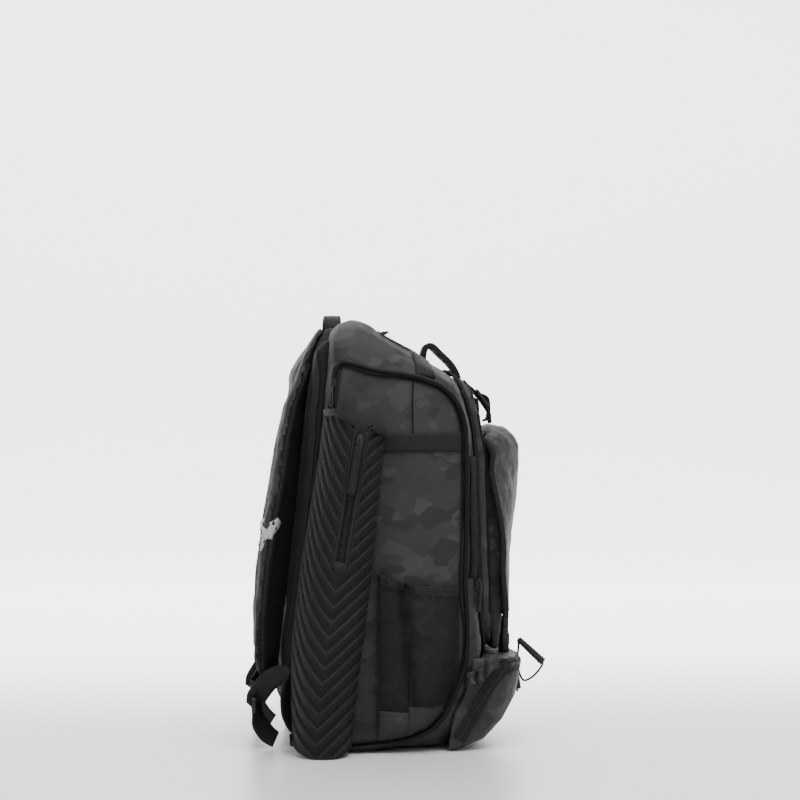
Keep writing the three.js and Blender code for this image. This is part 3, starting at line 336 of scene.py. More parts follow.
def crumple(bm, size, depth, seed, stretch=(1, 1, 1), where=lambda place: 1.0):
    """Moves the surface in and out in soft folds of a size, as handled cloth lies."""
    bm.normal_update()
    shift = Vector((seed, seed * 1.7, seed * 0.6))
    for v in bm.verts:
        spot = Vector([c * s / size for c, s in zip(v.co, stretch)]) + shift
        v.co += v.normal * depth * where(v.co) * noise.fractal(spot, 0.6, 2.1, 3)


def finish_piece(made, slot, materials, *nodes):
    """Gives a piece its materials, its body and the nodes that it stands for; its slot is not used."""
    for material in materials:
        made.data.materials.append(material)
    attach(made, "root")
    if nodes:
        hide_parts(*nodes)
    return made


def inside_mouth(place, grow=0.0):
    """Whether a place lies over the mouth's round-cornered opening."""
    u, v = (abs(place.x - mouth_centre.x), abs(place.y - mouth_centre.y))
    x, y = (mouth_size[0] / 2 + grow, mouth_size[1] / 2 + grow)
    round_off = mouth_round + grow
    if u > x or v > y:
        return False
    return u < x - round_off or v < y - round_off or math.hypot(u - x + round_off,
                                                                v - y + round_off) < round_off


bm = merged_copy("main_shell")
bm.normal_update()
inner = [face for face in bm.faces if face.normal.dot(face.calc_center_median() - shell_centre) <= 0]
bmesh.ops.delete(bm, geom=inner, context="FACES")
bmesh.ops.holes_fill(bm, edges=[edge for edge in bm.edges if edge.is_boundary], sides=0)
bmesh.ops.triangulate(bm, faces=bm.faces)
bm = smoothed(even_mesh(bm, shell_voxel), 4)
off_base = lambda place: min(1.0, max(0.0, (place.z - 0.01) / 0.05))
crumple(bm, 0.16, 0.0035, 3.0, where=off_base)
crumple(bm, 0.05, 0.0014, 11.0, stretch=(1, 1.5, 0.7), where=off_base)
shell_ground = BVHTree.FromBMesh(bm)
open_faces = [face for face in bm.faces if face.calc_center_median().z > 0.44
              and inside_mouth(face.calc_center_median())]
bmesh.ops.delete(bm, geom=open_faces, context="FACES")
mouth_rim = [v for v in bm.verts if v.is_boundary]
for v in mouth_rim:
    u, w = (v.co.x - mouth_centre.x, v.co.y - mouth_centre.y)
    for _ in range(8):
        step = 0.0006 if inside_mouth(v.co, -0.0005) else -0.0006
        if inside_mouth(v.co) == inside_mouth(v.co, -0.0008):
            v.co += Vector((u, w, 0)).normalized() * step
shell = walled(link_mesh("shell_panels", bm), shell_wall, inner_material=1)
finish_piece(shell, "cloth", [camo_cloth, lining], "main_shell")

# Mouth zip: black coil zip on woven tape round the near, front and far edges of the mouth, with two sliders
# Tape is laid on the cloth along a route, and its coils are small blocks side by side.
webbing_tone = (0.0085, 0.0082, 0.0083, 1)
coil_tone = (0.011, 0.011, 0.012, 1)
thread_tone = (0.028, 0.027, 0.028, 1)
tooth_pitch = 0.0015
stitch_pitch = 0.0036


def smooth_route(points, step=0.004, closed=False):
    """Evenly spaced points on a smooth line through points."""
    points = [Vector(p) for p in points]
    spots = points[-1:] + points + points[:2] if closed else points[:1] + points + points[-1:]
    line = []
    for a, b, c, d in zip(spots, spots[1:], spots[2:], spots[3:]):
        count = max(1, round((c - b).length / step))
        for k in range(count):
            t = k / count
            line.append(0.5 * (2 * b + (c - a) * t + (2 * a - 5 * b + 4 * c - d) * t * t
                               + (3 * b - a - 3 * c + d) * t ** 3))
    return line if closed else line + [points[-1]]


def on_ground(place, ground, toward, lift=0.0):
    """The place on a surface that is met from outside along a direction, and the surface's normal there."""
    toward = Vector(toward).normalized()
    hit, normal, _, _ = ground.ray_cast(place - toward * 0.25, toward)
    if hit is None:
        hit, normal, _, _ = ground.find_nearest(place)
    if normal.dot(toward) > 0:
        normal = -normal
    return hit + normal * lift, normal


def dropped(line, ground, toward):
    """The same line, laid on a ground."""
    return [on_ground(p, ground, toward)[0] for p in line]


def tangent_of(line, i, closed=False):
    """The direction of a line at one of its points."""
    if closed:
        return (line[(i + 1) % len(line)] - line[i - 1]).normalized()
    return (line[min(i + 1, len(line) - 1)] - line[max(i - 1, 0)]).normalized()


def strip(name, line, width, thickness, ground=None, toward=(0, 0, -1), lift=0.0003, across=None, cells=4,
          closed=False, profile=None, offset=1):
    """A tape or strap along a line, laid on a ground if there is one. Its UV map is in metres."""
    rows = len(line) if closed else len(line) - 1
    bm = bmesh.new()
    bmesh.ops.create_grid(bm, x_segments=cells, y_segments=rows, size=0.5, calc_uvs=True)
    uv = bm.loops.layers.uv.active or bm.loops.layers.uv.new("UVMap")
    lengths = [0.0]
    for i in range(rows):
        lengths.append(lengths[-1] + (line[(i + 1) % len(line)] - line[i]).length)
    places = {}
    for v in bm.verts:
        share, row = v.co.x, round((v.co.y + 0.5) * rows)
        wide = width(row / rows) if callable(width) else width
        places[v] = (share * wide, lengths[row])
        at = line[row % len(line)]
        along = tangent_of(line, row % len(line), closed)
        if ground is None:
            out = along.cross(across(row / rows) if callable(across) else Vector(across))
            side = out.cross(along).normalized()
            v.co = at + side * share * wide
        else:
            _, normal = on_ground(at, ground, toward)
            side = normal.cross(along).normalized()
            v.co = on_ground(at + side * share * wide, ground, toward, lift)[0]
    for face in bm.faces:
        for loop in face.loops:
            loop[uv].uv = places[loop.vert]
    if closed:
        bmesh.ops.remove_doubles(bm, verts=bm.verts, dist=1e-5)
    bm.normal_update()
    outward = sum(face.normal.dot(-Vector(toward)) for face in bm.faces)
    if outward < 0:
        bmesh.ops.reverse_faces(bm, faces=bm.faces)
    return walled(link_mesh(name, bm), thickness, offset)


def woven_finish(name, tone, rib=0.0016, rough=0.62, twill=0.5):
    """Woven tape or webbing: cross ribs and a fine warp, with painted shade that makes their raised threads
    paler and the hollows between them darker, and a fine random speckle of paler and darker threads.
    """
    material, tree, shader = start_finish(name, rough, sheen=0.02, specular=0.25)
    across, along, place = ribbon_places(tree)
    ribs = wave(tree, sum_of(tree, "ADD", along,
                             sum_of(tree, "MULTIPLY", wave(tree, across, 0.0062), rib * twill)), rib)
    warp = wave(tree, across, 0.00085)
    height = sum_of(tree, "MULTIPLY", sum_of(tree, "ADD", ribs, sum_of(tree, "MULTIPLY", warp, 0.6)), 0.5)
    # The raised threads are painted paler and the hollows darker, following the bump height: painted shade.
    shade = sum_of(tree, "ADD", sum_of(tree, "MULTIPLY", height, 0.22),
                   speckle(tree, place, 700.0, 0.8, 1.25))
    tinted(tree, shader, tone, shade)
    bumped(tree, shader, height, 0.00022, 0.8)
    return material


def moulded_finish(name, tone, rough=0.36, grain=0.00004):
    """Moulded plastic or rubber with a fine grain and slightly uneven gloss."""
    material, tree, shader = start_finish(name, rough, specular=0.4)
    place = add(tree, "TexCoord").outputs["Object"]
    tinted(tree, shader, tone, speckle(tree, place, 120.0, 0.9, 1.12))
    tree.links.new(speckle(tree, place, 60.0, rough - 0.05, rough + 0.09), shader.inputs["Roughness"])
    bumped(tree, shader, speckle(tree, place, 2600.0, 0.0, 1.0), grain, 0.6)
    return material


webbing = woven_finish("webbing", webbing_tone)
zip_tape = woven_finish("zip_tape", (0.009, 0.009, 0.0095, 1), rib=0.0011, rough=0.7, twill=0.0)
coil_plastic = moulded_finish("coil_plastic", coil_tone, 0.34)
acetal = moulded_finish("acetal", (0.0095, 0.0095, 0.0098, 1), 0.38)
thread = moulded_finish("thread", thread_tone, 0.6)
threads = bmesh.new()


def set_blocks(bm, line, pitch, size, ground, toward, lift, sway=0.0, turn=0.0, closed=False):
    """Sets small blocks in a row along a line: stitches, or a zip's coils when they sway sideways."""
    travelled, at, count = 0.0, 0.0, 0
    total = sum((b - a).length for a, b in zip(line, line[1:]))
    i = 0
    while at < total and i < len(line) - 1:
        span = (line[i + 1] - line[i]).length
        if travelled + span < at:
            travelled += span
            i += 1
            continue
        spot = line[i].lerp(line[i + 1], (at - travelled) / max(span, 1e-9))
        along = tangent_of(line, i)
        foot, normal = on_ground(spot, ground, toward) if ground else (spot, -Vector(toward))
        side = normal.cross(along).normalized()
        way = 1 if count % 2 else -1
        foot = foot + side * sway * way + normal * lift
        basis = Matrix((side, along, normal)).transposed().to_4x4()
        matrix = Matrix.Translation(foot) @ basis @ Matrix.Rotation(turn * way, 4,
                                                                    "Z") @ Matrix.Diagonal((*size, 1))
        bmesh.ops.create_cube(bm, size=1.0, matrix=matrix)
        at += pitch
        count += 1


def stitch(line, ground, toward, lift=0.0002):
    """A row of lock stitches in thick thread along a line on a ground."""
    set_blocks(threads, line, stitch_pitch, (0.0006, stitch_pitch * 0.66, 0.0006), ground, toward, lift)


def loose_stitch(line, toward, lift):
    """A row of stitches along a line that already lies where the thread goes."""
    set_blocks(threads, line, stitch_pitch, (0.0006, 0.0024, 0.0006), None, toward, lift)


def coil_row(bm, line, ground, toward, width=0.004, lift=0.0012):
    """Two rows of coil ends that mesh along a line."""
    set_blocks(bm, line, tooth_pitch, (width * 0.62, tooth_pitch * 0.62, 0.0013), ground, toward, lift,
               sway=width * 0.2, turn=0.22)


def slider(bm, place, along, out, scale=1.0):
    """A zip slider: a waisted body with a bridge on top for its pull."""
    side = out.cross(along).normalized()
    basis = Matrix.Translation(place) @ Matrix((side, along, out)).transposed().to_4x4() @ Matrix.Scale(scale,
                                                                                                        4)
    for size, at in (((0.0072, 0.0085, 0.0022), 0.0011), ((0.0048, 0.0125, 0.0016), 0.0029),
                     ((0.0022, 0.0085, 0.0024), 0.0046)):
        made = bmesh.ops.create_cube(bm, size=1.0, matrix=basis @ Matrix.Translation((0, 0, at))
                                     @ Matrix.Diagonal((*size, 1)))
        edges = list({edge for v in made["verts"] for edge in v.link_edges})
        bmesh.ops.bevel(bm, geom=edges, offset=0.0006, segments=2, profile=0.5, affect="EDGES", material=-1)


def mouth_route(grow):
    """The line round the near, front and far edges of the mouth, from rear corner to rear corner."""
    x, y = mouth_size[0] / 2 + grow, mouth_size[1] / 2 + grow
    bend = mouth_round + grow
    route = [(-x, mouth_centre.y + 0.012, 0.6), (-x, mouth_centre.y - y + bend, 0.6)]
    route += [(-x + bend - bend * math.cos(a), mouth_centre.y - y + bend - bend * math.sin(a), 0.6)
              for a in (math.pi / 8, math.pi / 4, 3 * math.pi / 8)]
    route.append((-x + bend, mouth_centre.y - y, 0.6))
    return smooth_route(route + [(-px, py, pz) for px, py, pz in reversed(route)], 0.004)


down = Vector((0, 0, -1))
mouth_tape = strip("mouth_zip_tape", mouth_route(0.0048), 0.0085, 0.0009, shell_ground, down, cells=3)
finish_piece(mouth_tape, "zip", [zip_tape], "mouth_zip")
coils = bmesh.new()
coil_row(coils, mouth_route(0.0022), shell_ground, down)
for way in (-1, 1):
    spot, normal = on_ground(Vector((way * (mouth_size[0] / 2 + 0.003), -0.012, 0.6)), shell_ground, down)
    slider(coils, spot, Vector((0, -1, 0.1)), normal)
finish_piece(link_mesh("mouth_zip_coil", coils), "zip", [coil_plastic])
for grow in (0.0105, 0.0135):
    stitch(mouth_route(grow), shell_ground, down)

# Lid of the mouth: a padded flap of camouflage cloth that hangs inside from the rear edge, bound with tape
# It is gently swollen between its two faces and curves away from the opening.
bm = smoothed(even_mesh(merged_copy("top_lid"), 0.0022), 5)
crumple(bm, 0.05, 0.0016, 5.0)
lid = finish_piece(link_mesh("mouth_lid", bm), "cloth", [camo_cloth], "top_lid")

# Piping: a covered cord sewn into the crease between each side panel and the gusset
# Its cover is smooth, a little shiny and brown-black. A flat dark strip of the same cover lies beside it as a
# painted shadow along the seam.
piping_material, tree, shader = start_finish("piping_cover", 0.5, specular=0.16)
place = add(tree, "TexCoord").outputs["Object"]
tinted(tree, shader, (0.0062, 0.0044, 0.0041, 1), speckle(tree, place, 90.0, 0.8, 1.2))
tree.links.new(speckle(tree, place, 45.0, 0.42, 0.58), shader.inputs["Roughness"])
bumped(tree, shader, speckle(tree, place, 240.0, 0.0, 1.0), 0.00025, 0.5)
sides = (("left", -1), ("right", 1))
for side, way in sides:
    bm = merged_copy(f"piping_{side}")
    bm.normal_update()
    for v in bm.verts:
        v.co += v.normal * 0.0011
    made = link_mesh(f"piping_cord_{side}", bm)
    rounding = made.modifiers.new("rounding", "SUBSURF")
    rounding.levels = rounding.render_levels = 2
    finish_piece(made, "piping", [piping_material], f"piping_{side}")

# Outline of the side panels at their piping: places in shares of the bag's depth and height, base first
body_depth, body_height, half_width = 0.23, 0.523, 0.15
seam_shares = [
    (0.174, 0.011), (0.33, 0.01), (0.374, 0.031), (0.383, 0.12), (0.361, 0.258), (0.33, 0.396),
    (0.296, 0.533),
    (0.265, 0.671), (0.23, 0.793), (0.213, 0.857), (0.2, 0.883), (0.174, 0.893), (0.096, 0.885), (0, 0.872),
    (-0.104, 0.868), (-0.217, 0.859), (-0.335, 0.841), (-0.413, 0.809), (-0.452, 0.769), (-0.465, 0.734),
    (-0.47, 0.625), (-0.465, 0.488), (-0.457, 0.373), (-0.478, 0.272), (-0.465, 0.205), (-0.426, 0.155),
    (-0.365, 0.09), (-0.283, 0.05), (-0.143, 0.027), (0.017, 0.017)]


def seam_route(way, inset, first=0, last=30, lift=0.0):
    """The panel's outline moved inward on the panel, as a smooth line."""
    outline = [Vector((0, y * body_depth, z * body_height)) for y, z in seam_shares]
    moved = []
    for i in range(first, last):
        along = (outline[(i + 1) % 30] - outline[i % 30 - 1]).normalized()
        inward = Vector((0, along.z, -along.y))
        moved.append(outline[i % 30] + inward * -inset + Vector((way * (half_width + lift), 0, 0)))
    return smooth_route(moved, 0.006)


for side, way in sides:
    # A dark strip beside each piping cord: a painted shadow of the seam's crease.
    painted_seam_shadow = strip(f"piping_painted_seam_shadow_{side}", seam_route(way, 0.0042, 0, 30), 0.0026, 0.0009, shell_ground,
                   (-way, 0, 0),
                   cells=2, closed=True)
    finish_piece(painted_seam_shadow, "piping", [piping_material])
    stitch(seam_route(way, 0.0072, 0, 31), shell_ground, (-way, 0, 0))
    upright = [on_ground(p, shell_ground, (-way, 0, 0))[0] for p in smooth_route(
        [(way * half_width, -0.0445, 0.384), (way * half_width, -0.0438, 0.42),
         (way * half_width, -0.0452, 0.4505)], 0.006)]
    seam = strip(f"panel_seam_{side}", upright, 0.0018, 0.0006, shell_ground, (-way, 0, 0), lift=0.0, cells=2)
    finish_piece(seam, "piping", [piping_material])
    stitch([p + Vector((0, 0.0028, 0)) for p in upright], shell_ground, (-way, 0, 0))
    stitch(smooth_route([(way * half_width, -0.0985, 0.447), (way * 0.142, -0.105, 0.453),
                         (way * 0.13, -0.1085, 0.457)], 0.004), shell_ground, (-way * 0.7, 0.4, -0.6))

# Bat sleeves: moulded foam sheet pressed with chevron ribs, faced with matt knit and lined, open on top
# Each rib falls slowly and ends in a sharp upper edge, which the knit's colour lightens with a painted
# highlight. Its arms meet at a point that drifts down the sleeve.
sleeve_height, sleeve_depth, sleeve_span, side_bulge = 0.414, 0.066, 0.08, 0.007
rib_pitch, rib_height, rib_slope = 0.018, 0.0034, 0.95
placket_width, placket_length, notch_share = 0.017, 0.158, 0.92
sleeve_wall = 0.004
sleeve_rows = [
    (-0.05, 1.22, 0.4, 0.94), (0.03, 1.25, 0.36, 0.93), (0.12, 1.27, 0.3, 0.9), (0.22, 1.27, 0.25, 0.84),
    (0.34, 1.25, 0.16, 0.75), (0.55, 1.12, 0.03, 0.58), (0.85, 0.86, -0.12, 0.32), (1.05, 0.74, -0.17, 0.18)]
REAR, FRONT, RIDGE = 1, 2, 3


def between(table, place, column, key=0):
    """Reads a column of a table of rows at any place between them."""
    for low, high in zip(table, table[1:]):
        if place <= high[key]:
            share = max(0.0, (place - low[key]) / (high[key] - low[key]))
            return low[column] + (high[column] - low[column]) * share
    return table[-1][column]


def sleeve_at(z, column):
    return between(sleeve_rows, z / sleeve_height, column) * sleeve_span


def sleeve_point(share, z, way, lift=0.0):
    rear, front = sleeve_at(z, REAR), sleeve_at(z, FRONT)
    angle = share * math.pi
    y = (rear + front) / 2 + ((rear - front) / 2 + lift) * math.cos(angle)
    foot = 0.82 + 0.18 * min(max(z / (sleeve_height / 5), 0), 1)
    reach = (sleeve_depth * foot + side_bulge + lift) * max(math.sin(angle), 0) ** 0.7
    return Vector((way * (half_width - side_bulge + reach), y, z))


rim_ridge = sleeve_at(sleeve_height, RIDGE)
rim_rows = [
    (sleeve_at(sleeve_height, FRONT), 0.387), (rim_ridge - 0.0095, 0.3925), (rim_ridge - 0.007, 0.39),
    (rim_ridge + 0.001, 0.379), (rim_ridge + 0.009, 0.3965), (rim_ridge + 0.012, 0.3995),
    (sleeve_at(sleeve_height, REAR) - 0.01, 0.411), (0.12, 0.4135)]
foot_rows = [(0.0, 0.02), (0.027, 0.016), (0.037, 0.005), (0.052, 0.0005), (0.08, 0.0005), (0.094, 0.006),
             (0.11, 0.02)]


def rib_rise(y, ridge):
    """How far an arm of the chevrons has climbed at a distance from their point."""
    away = y - ridge
    curl = 0.045 * (max(away, 0) / 0.045) ** 3
    return rib_slope * abs(away) + min(curl, 0.09)


def rib_relief(y, z):
    """Height of the ribs at a place on the sleeve, from 0 in the grooves to 1."""
    turn = ((z - rib_rise(y, sleeve_at(z, RIDGE))) / rib_pitch + 0.86) % 1.0
    fall = turn / 0.84
    return min(1.0, fall ** 0.75) if turn < 0.84 else max(0.0, 1 - (turn - 0.84) / 0.12) ** 0.8


def sleeve_grid(way, columns, rows, ribs, lift=0.0):
    """The sleeve's curved sheet, its rim and foot cut to their outlines."""
    bm = bmesh.new()
    bmesh.ops.create_grid(bm, x_segments=columns, y_segments=rows, size=0.5)
    rib_place = bm.verts.layers.float.new("rib_place")
    for v in bm.verts:
        share, up = 0.5 + v.co.x, 0.5 + v.co.y
        flat = sleeve_point(share, up * sleeve_height, way)
        low, high = between(foot_rows, flat.y, 1), between(rim_rows, flat.y, 1)
        z = low + up * (high - low)
        flat = sleeve_point(share, z, way)
        edge = min(1.0, share / 0.05, (1 - share) / 0.05, up / 0.01, (1 - up) / 0.012)
        sunk = (1 - rib_relief(flat.y, z)) * rib_height * max(edge, 0) if ribs else 0.0
        # The place among the ribs, which the knit reads to paint a highlight along each rib's upper edge
        v[rib_place] = (z - rib_rise(flat.y, sleeve_at(z, RIDGE))) / rib_pitch + 20.86
        v.co = sleeve_point(share, z, way, lift - sunk)
    bm.normal_update()
    if sum(face.normal.x * way for face in bm.faces) < 0:
        bmesh.ops.reverse_faces(bm, faces=bm.faces)
    return bm


zip_top = sleeve_height * notch_share
zip_end = zip_top - placket_length


def zip_line(z):
    low, high = sleeve_at(zip_end, RIDGE), sleeve_at(zip_top, RIDGE)
    return low + (high - low) * (z - zip_end) / placket_length


knit, tree, shader = start_finish("ribbed_knit", 0.7, sheen=0.02, specular=0.22)
along, up, place = cloth_places(tree)
loops = sum_of(tree, "MULTIPLY", wave(tree, along, 0.0011), wave(tree, up, 0.0008))
# A thin painted highlight along the upper edge of each rib, where light from above would catch it, lightens
# the knit's colour
rib_part = add(tree, "Math", {0: add(tree, "Attribute", attribute_name="rib_place").outputs["Fac"]},
               operation="FRACT").outputs[0]
crest = add(tree, "MapRange", {0: rib_part, 1: 0.6, 2: 0.8, 3: 0.0, 4: 1.0},
            interpolation_type="SMOOTHSTEP").outputs[0]
behind = add(tree, "MapRange", {0: rib_part, 1: 0.845, 2: 0.9, 3: 1.0, 4: 0.0},
             interpolation_type="SMOOTHSTEP").outputs[0]
painted_rib_highlight = sum_of(tree, "MULTIPLY", sum_of(tree, "MULTIPLY", crest, crest), behind)
rib_painted_highlight_factor = sum_of(tree, "ADD", sum_of(tree, "MULTIPLY", painted_rib_highlight, 1.1), 0.85)
tinted(tree, shader, (0.0098, 0.0092, 0.0094, 1), sum_of(tree, "MULTIPLY", rib_painted_highlight_factor, sum_of(
    tree, "MULTIPLY", speckle(tree, place, 800.0, 0.8, 1.2), speckle(tree, place, 18.0, 0.9, 1.1))))
bumped(tree, shader, loops, 0.0001, 0.6)
binding = woven_finish("binding_tape", (0.0098, 0.0095, 0.0096, 1), rib=0.0013, rough=0.66, twill=0.0)

for side, way in sides:
    inward = Vector((-way, 0, 0))
    ground_bm = sleeve_grid(way, 40, 60, ribs=False)
    sleeve_ground = BVHTree.FromBMesh(ground_bm)
    ground_bm.free()
    bm = sleeve_grid(way, 92, 262, ribs=True)
    slope = Vector((0, zip_line(zip_top) - zip_line(zip_end), placket_length)).normalized()
    across_slope = Vector((0, slope.z, -slope.y))
    middle = Vector((0, zip_line(zip_end), zip_end))
    for edge_way in (-1, 1):
        bmesh.ops.bisect_plane(bm, geom=bm.verts[:] + bm.edges[:] + bm.faces[:], dist=1e-6,
                               plane_co=middle + across_slope * edge_way * placket_width / 2,
                               plane_no=across_slope)
    bmesh.ops.bisect_plane(bm, geom=bm.verts[:] + bm.edges[:] + bm.faces[:], dist=1e-6,
                           plane_co=middle, plane_no=Vector((0, 0, 1)))
    slit = []
    for face in bm.faces:
        centre = face.calc_center_median()
        beside = abs((centre - middle).dot(across_slope))
        outside = abs(centre.x) > half_width + sleeve_depth * 0.35
        if beside < placket_width / 2 and centre.z > zip_end and outside:
            slit.append(face)
    bmesh.ops.delete(bm, geom=slit, context="FACES")
    foot = [edge for edge in bm.edges if edge.is_boundary and all(v.co.z < 0.024 for v in edge.verts)]
    made = bmesh.ops.extrude_edge_only(bm, edges=foot)["geom"]
    for v in made:
        if isinstance(v, bmesh.types.BMVert):
            v.co.x = way * (half_width - 0.001)
    sleeve = walled(link_mesh(f"bat_sleeve_{side}", bm), sleeve_wall - 0.001, inner_material=1)
    finish_piece(sleeve, "foam", [knit, lining], f"sleeve_{side}")

    # Bound rim, stitched down, and a seam down the rear edge
    rim = [sleeve_point(share / 60, 0.39, way) for share in range(3, 58)]
    rim = [sleeve_point(share / 60, between(rim_rows, p.y, 1) - 0.0042, way, 0.0004) for share,
           p in zip(range(3, 58), rim)]
    rim_gap = [p for p in rim if abs(p.y - rim_ridge) > placket_width / 2]
    for part, line in (("rear", [p for p in rim_gap if p.y > rim_ridge]),
                       ("front", [p for p in rim_gap if p.y < rim_ridge])):
        band = strip(f"sleeve_rim_{part}_{side}", smooth_route(line, 0.004), 0.0088, 0.0011, across=(0, 0, 1),
                     toward=inward, cells=2)
        finish_piece(band, "webbing", [binding])
    rear_seam = [sleeve_point(0.13, z, way, -0.0004) for z in (0.03, 0.1, 0.18, 0.26, 0.34, 0.395)]
    stitch(smooth_route(rear_seam, 0.005), sleeve_ground, inward, lift=-0.0004)

    # Zip down the slit: tape, coil, slider, folded edges, a woven end tab and a long webbing pull
    def lane(offset, top, bottom, step=0.006):
        """A line down the slit, moved sideways from its middle."""
        count = max(2, round((top - bottom) / step))
        heights = [bottom + (top - bottom) * i / count for i in range(count + 1)]
        return [Vector((way * 0.3, zip_line(z) + offset, z)) for z in heights]

    def laid(line):
        """The same line, dropped onto the sleeve."""
        return dropped(line, sleeve_ground, inward)

    tape = strip(f"sleeve_zip_tape_{side}", laid(lane(0, zip_top - 0.001, zip_end)), placket_width + 0.002,
                 0.0009,
                 sleeve_ground, inward, lift=-0.0036, cells=6)
    finish_piece(tape, "zip", [zip_tape], f"sleeve_zip_{side}")
    coils = bmesh.new()
    coil_row(coils, laid(lane(0, zip_top - 0.006, zip_end + 0.008)), sleeve_ground, inward, 0.0052,
             lift=-0.002)
    spot, normal = on_ground(lane(0, zip_top - 0.008, zip_end)[-1], sleeve_ground, inward)
    slider(coils, spot - normal * 0.0014, slope, normal, 1.25)
    finish_piece(link_mesh(f"sleeve_zip_coil_{side}", coils), "zip", [coil_plastic])
    for part, offset in (("front", -1), ("rear", 1)):
        fold = strip(f"sleeve_placket_{part}_{side}", laid(lane(offset * (placket_width / 2 - 0.0012),
                     zip_top + (0.003 if offset < 0 else 0.006), zip_end + 0.001)), 0.0042, 0.0016,
                     sleeve_ground,
                     inward, lift=-0.0012, cells=2)
        finish_piece(fold, "webbing", [binding])
        stitch(laid(lane(offset * (placket_width / 2 + 0.0025), zip_top - 0.004, zip_end + 0.002)),
               sleeve_ground,
               inward, lift=-0.0001)
    tab = strip(f"sleeve_zip_stop_{side}", laid(lane(0, zip_end + 0.009, zip_end - 0.005)),
                lambda share: placket_width * (0.35 + 0.65 * min(1.0, share * 2.2)), 0.0012, sleeve_ground,
                inward,
                lift=-0.0004, cells=4)
    finish_piece(tab, "webbing", [binding])
    pull_line = [p + Vector((way * (0.0062 - 0.003 * i / 8), 0, 0)) for i, p in enumerate(
        reversed(laid(lane(0.0006, zip_top - 0.014, zip_end + 0.088))))]
    pull = strip(f"sleeve_zip_pull_{side}", smooth_route(pull_line, 0.004), 0.0098, 0.0016, across=(0, 1, 0),
                 toward=inward, cells=3)
    finish_piece(pull, "webbing", [webbing], f"sleeve_pull_{side}")

# Side pockets: knotted net gathered under an elastic hem, over a foot of camouflage cloth in two panels
# The net is a diamond mesh of thin cord with open holes, so the side panel shows through it.
pocket_height, pocket_span, pocket_bulge, pocket_folds = 0.204, 0.098, 0.024, 4
net_cells = (25, 42)
cord_width = 0.00115
panel_outline = [Vector((y * body_depth, z * body_height)) for y, z in seam_shares]


def panel_inset(y, z, inset=0.0045):
    """How far a place lies inside the panel's seam, and the nearest place on the seam's inner side."""
    spot = Vector((y, z))
    best, foot, inside = 1.0, spot, False
    for a, b in zip(panel_outline, panel_outline[1:] + panel_outline[:1]):
        run = b - a
        share = min(1.0, max(0.0, (spot - a).dot(run) / run.dot(run)))
        near = a + run * share
        if (spot - near).length < best:
            inner = Vector((run.y, -run.x)).normalized() * -inset
            best, foot, inside = (spot - near).length, near + inner, (spot - near).dot(inner) > 0
    return (best if inside else -best) - inset, foot


def pocket_top(column):
    return 0.197 + 0.017 * (1 - column) ** 2.4


def pocket_point(row, column, way, lift=0.0):
    """A place on the gathered wall. Rows run from foot to hem, and columns from the sleeve forward."""
    turn = column * pocket_folds * math.pi + row * 2.2 + math.sin(row * 4) * 0.5
    fold = math.sin(turn) * pocket_bulge / 9 * row
    fine = 0.0011 * math.sin(column * 58 + math.sin(row * 7) * 1.2) * row ** 4
    gather = -0.55 * pocket_bulge * math.exp(-((column - 0.42 + 0.12 * row) / 0.06) ** 2) * min(row * 1.6, 1)
    swell = pocket_bulge * max(math.sin(math.pi * (column * 0.94 + 0.03)), 0) ** 0.55 \
        * math.sin(math.pi * (0.12 + row * 0.62)) ** 0.6
    y, z = -0.002 - column * pocket_span, 0.012 + (pocket_top(column) - 0.012) * row
    inside, foot = panel_inset(y, z)
    if inside < 0:
        y, z = foot
    close = min(1.0, max(inside, 0) / 0.02) ** 0.6
    base = on_ground(Vector((way * 0.3, y, z)), shell_ground, (-way, 0, 0))[0].x
    out = max((swell + fold + fine + gather) * close, 0.0008)
    level = way * (half_width + side_bulge * 0.55 + out)
    return Vector((way * max(abs(base) + 0.0008, abs(level) * close + abs(base) * (1 - close)) + way * lift,
                   y, z))



def pocket_sheet(name, low, high, first, last, cells, lift, thickness, way):
    """Cloth that follows the gathered wall between two rows and two columns. Its UV map is in metres."""
    bm = bmesh.new()
    bmesh.ops.create_grid(bm, x_segments=cells[0], y_segments=cells[1], size=0.5, calc_uvs=True)
    uv = bm.loops.layers.uv.active or bm.loops.layers.uv.new("UVMap")
    for face in bm.faces:
        for loop in face.loops:
            share = loop.vert.co
            loop[uv].uv = (share.y * (high - low) * pocket_height, share.x * (last - first) * pocket_span)
    for v in bm.verts:
        v.co = pocket_point(low + (high - low) * (0.5 + v.co.y), first + (last - first) * (0.5 + v.co.x), way,
                            lift)
    bm.normal_update()
    if sum(face.normal.x * way for face in bm.faces) < 0:
        bmesh.ops.reverse_faces(bm, faces=bm.faces)
    return walled(link_mesh(name, bm), thickness)


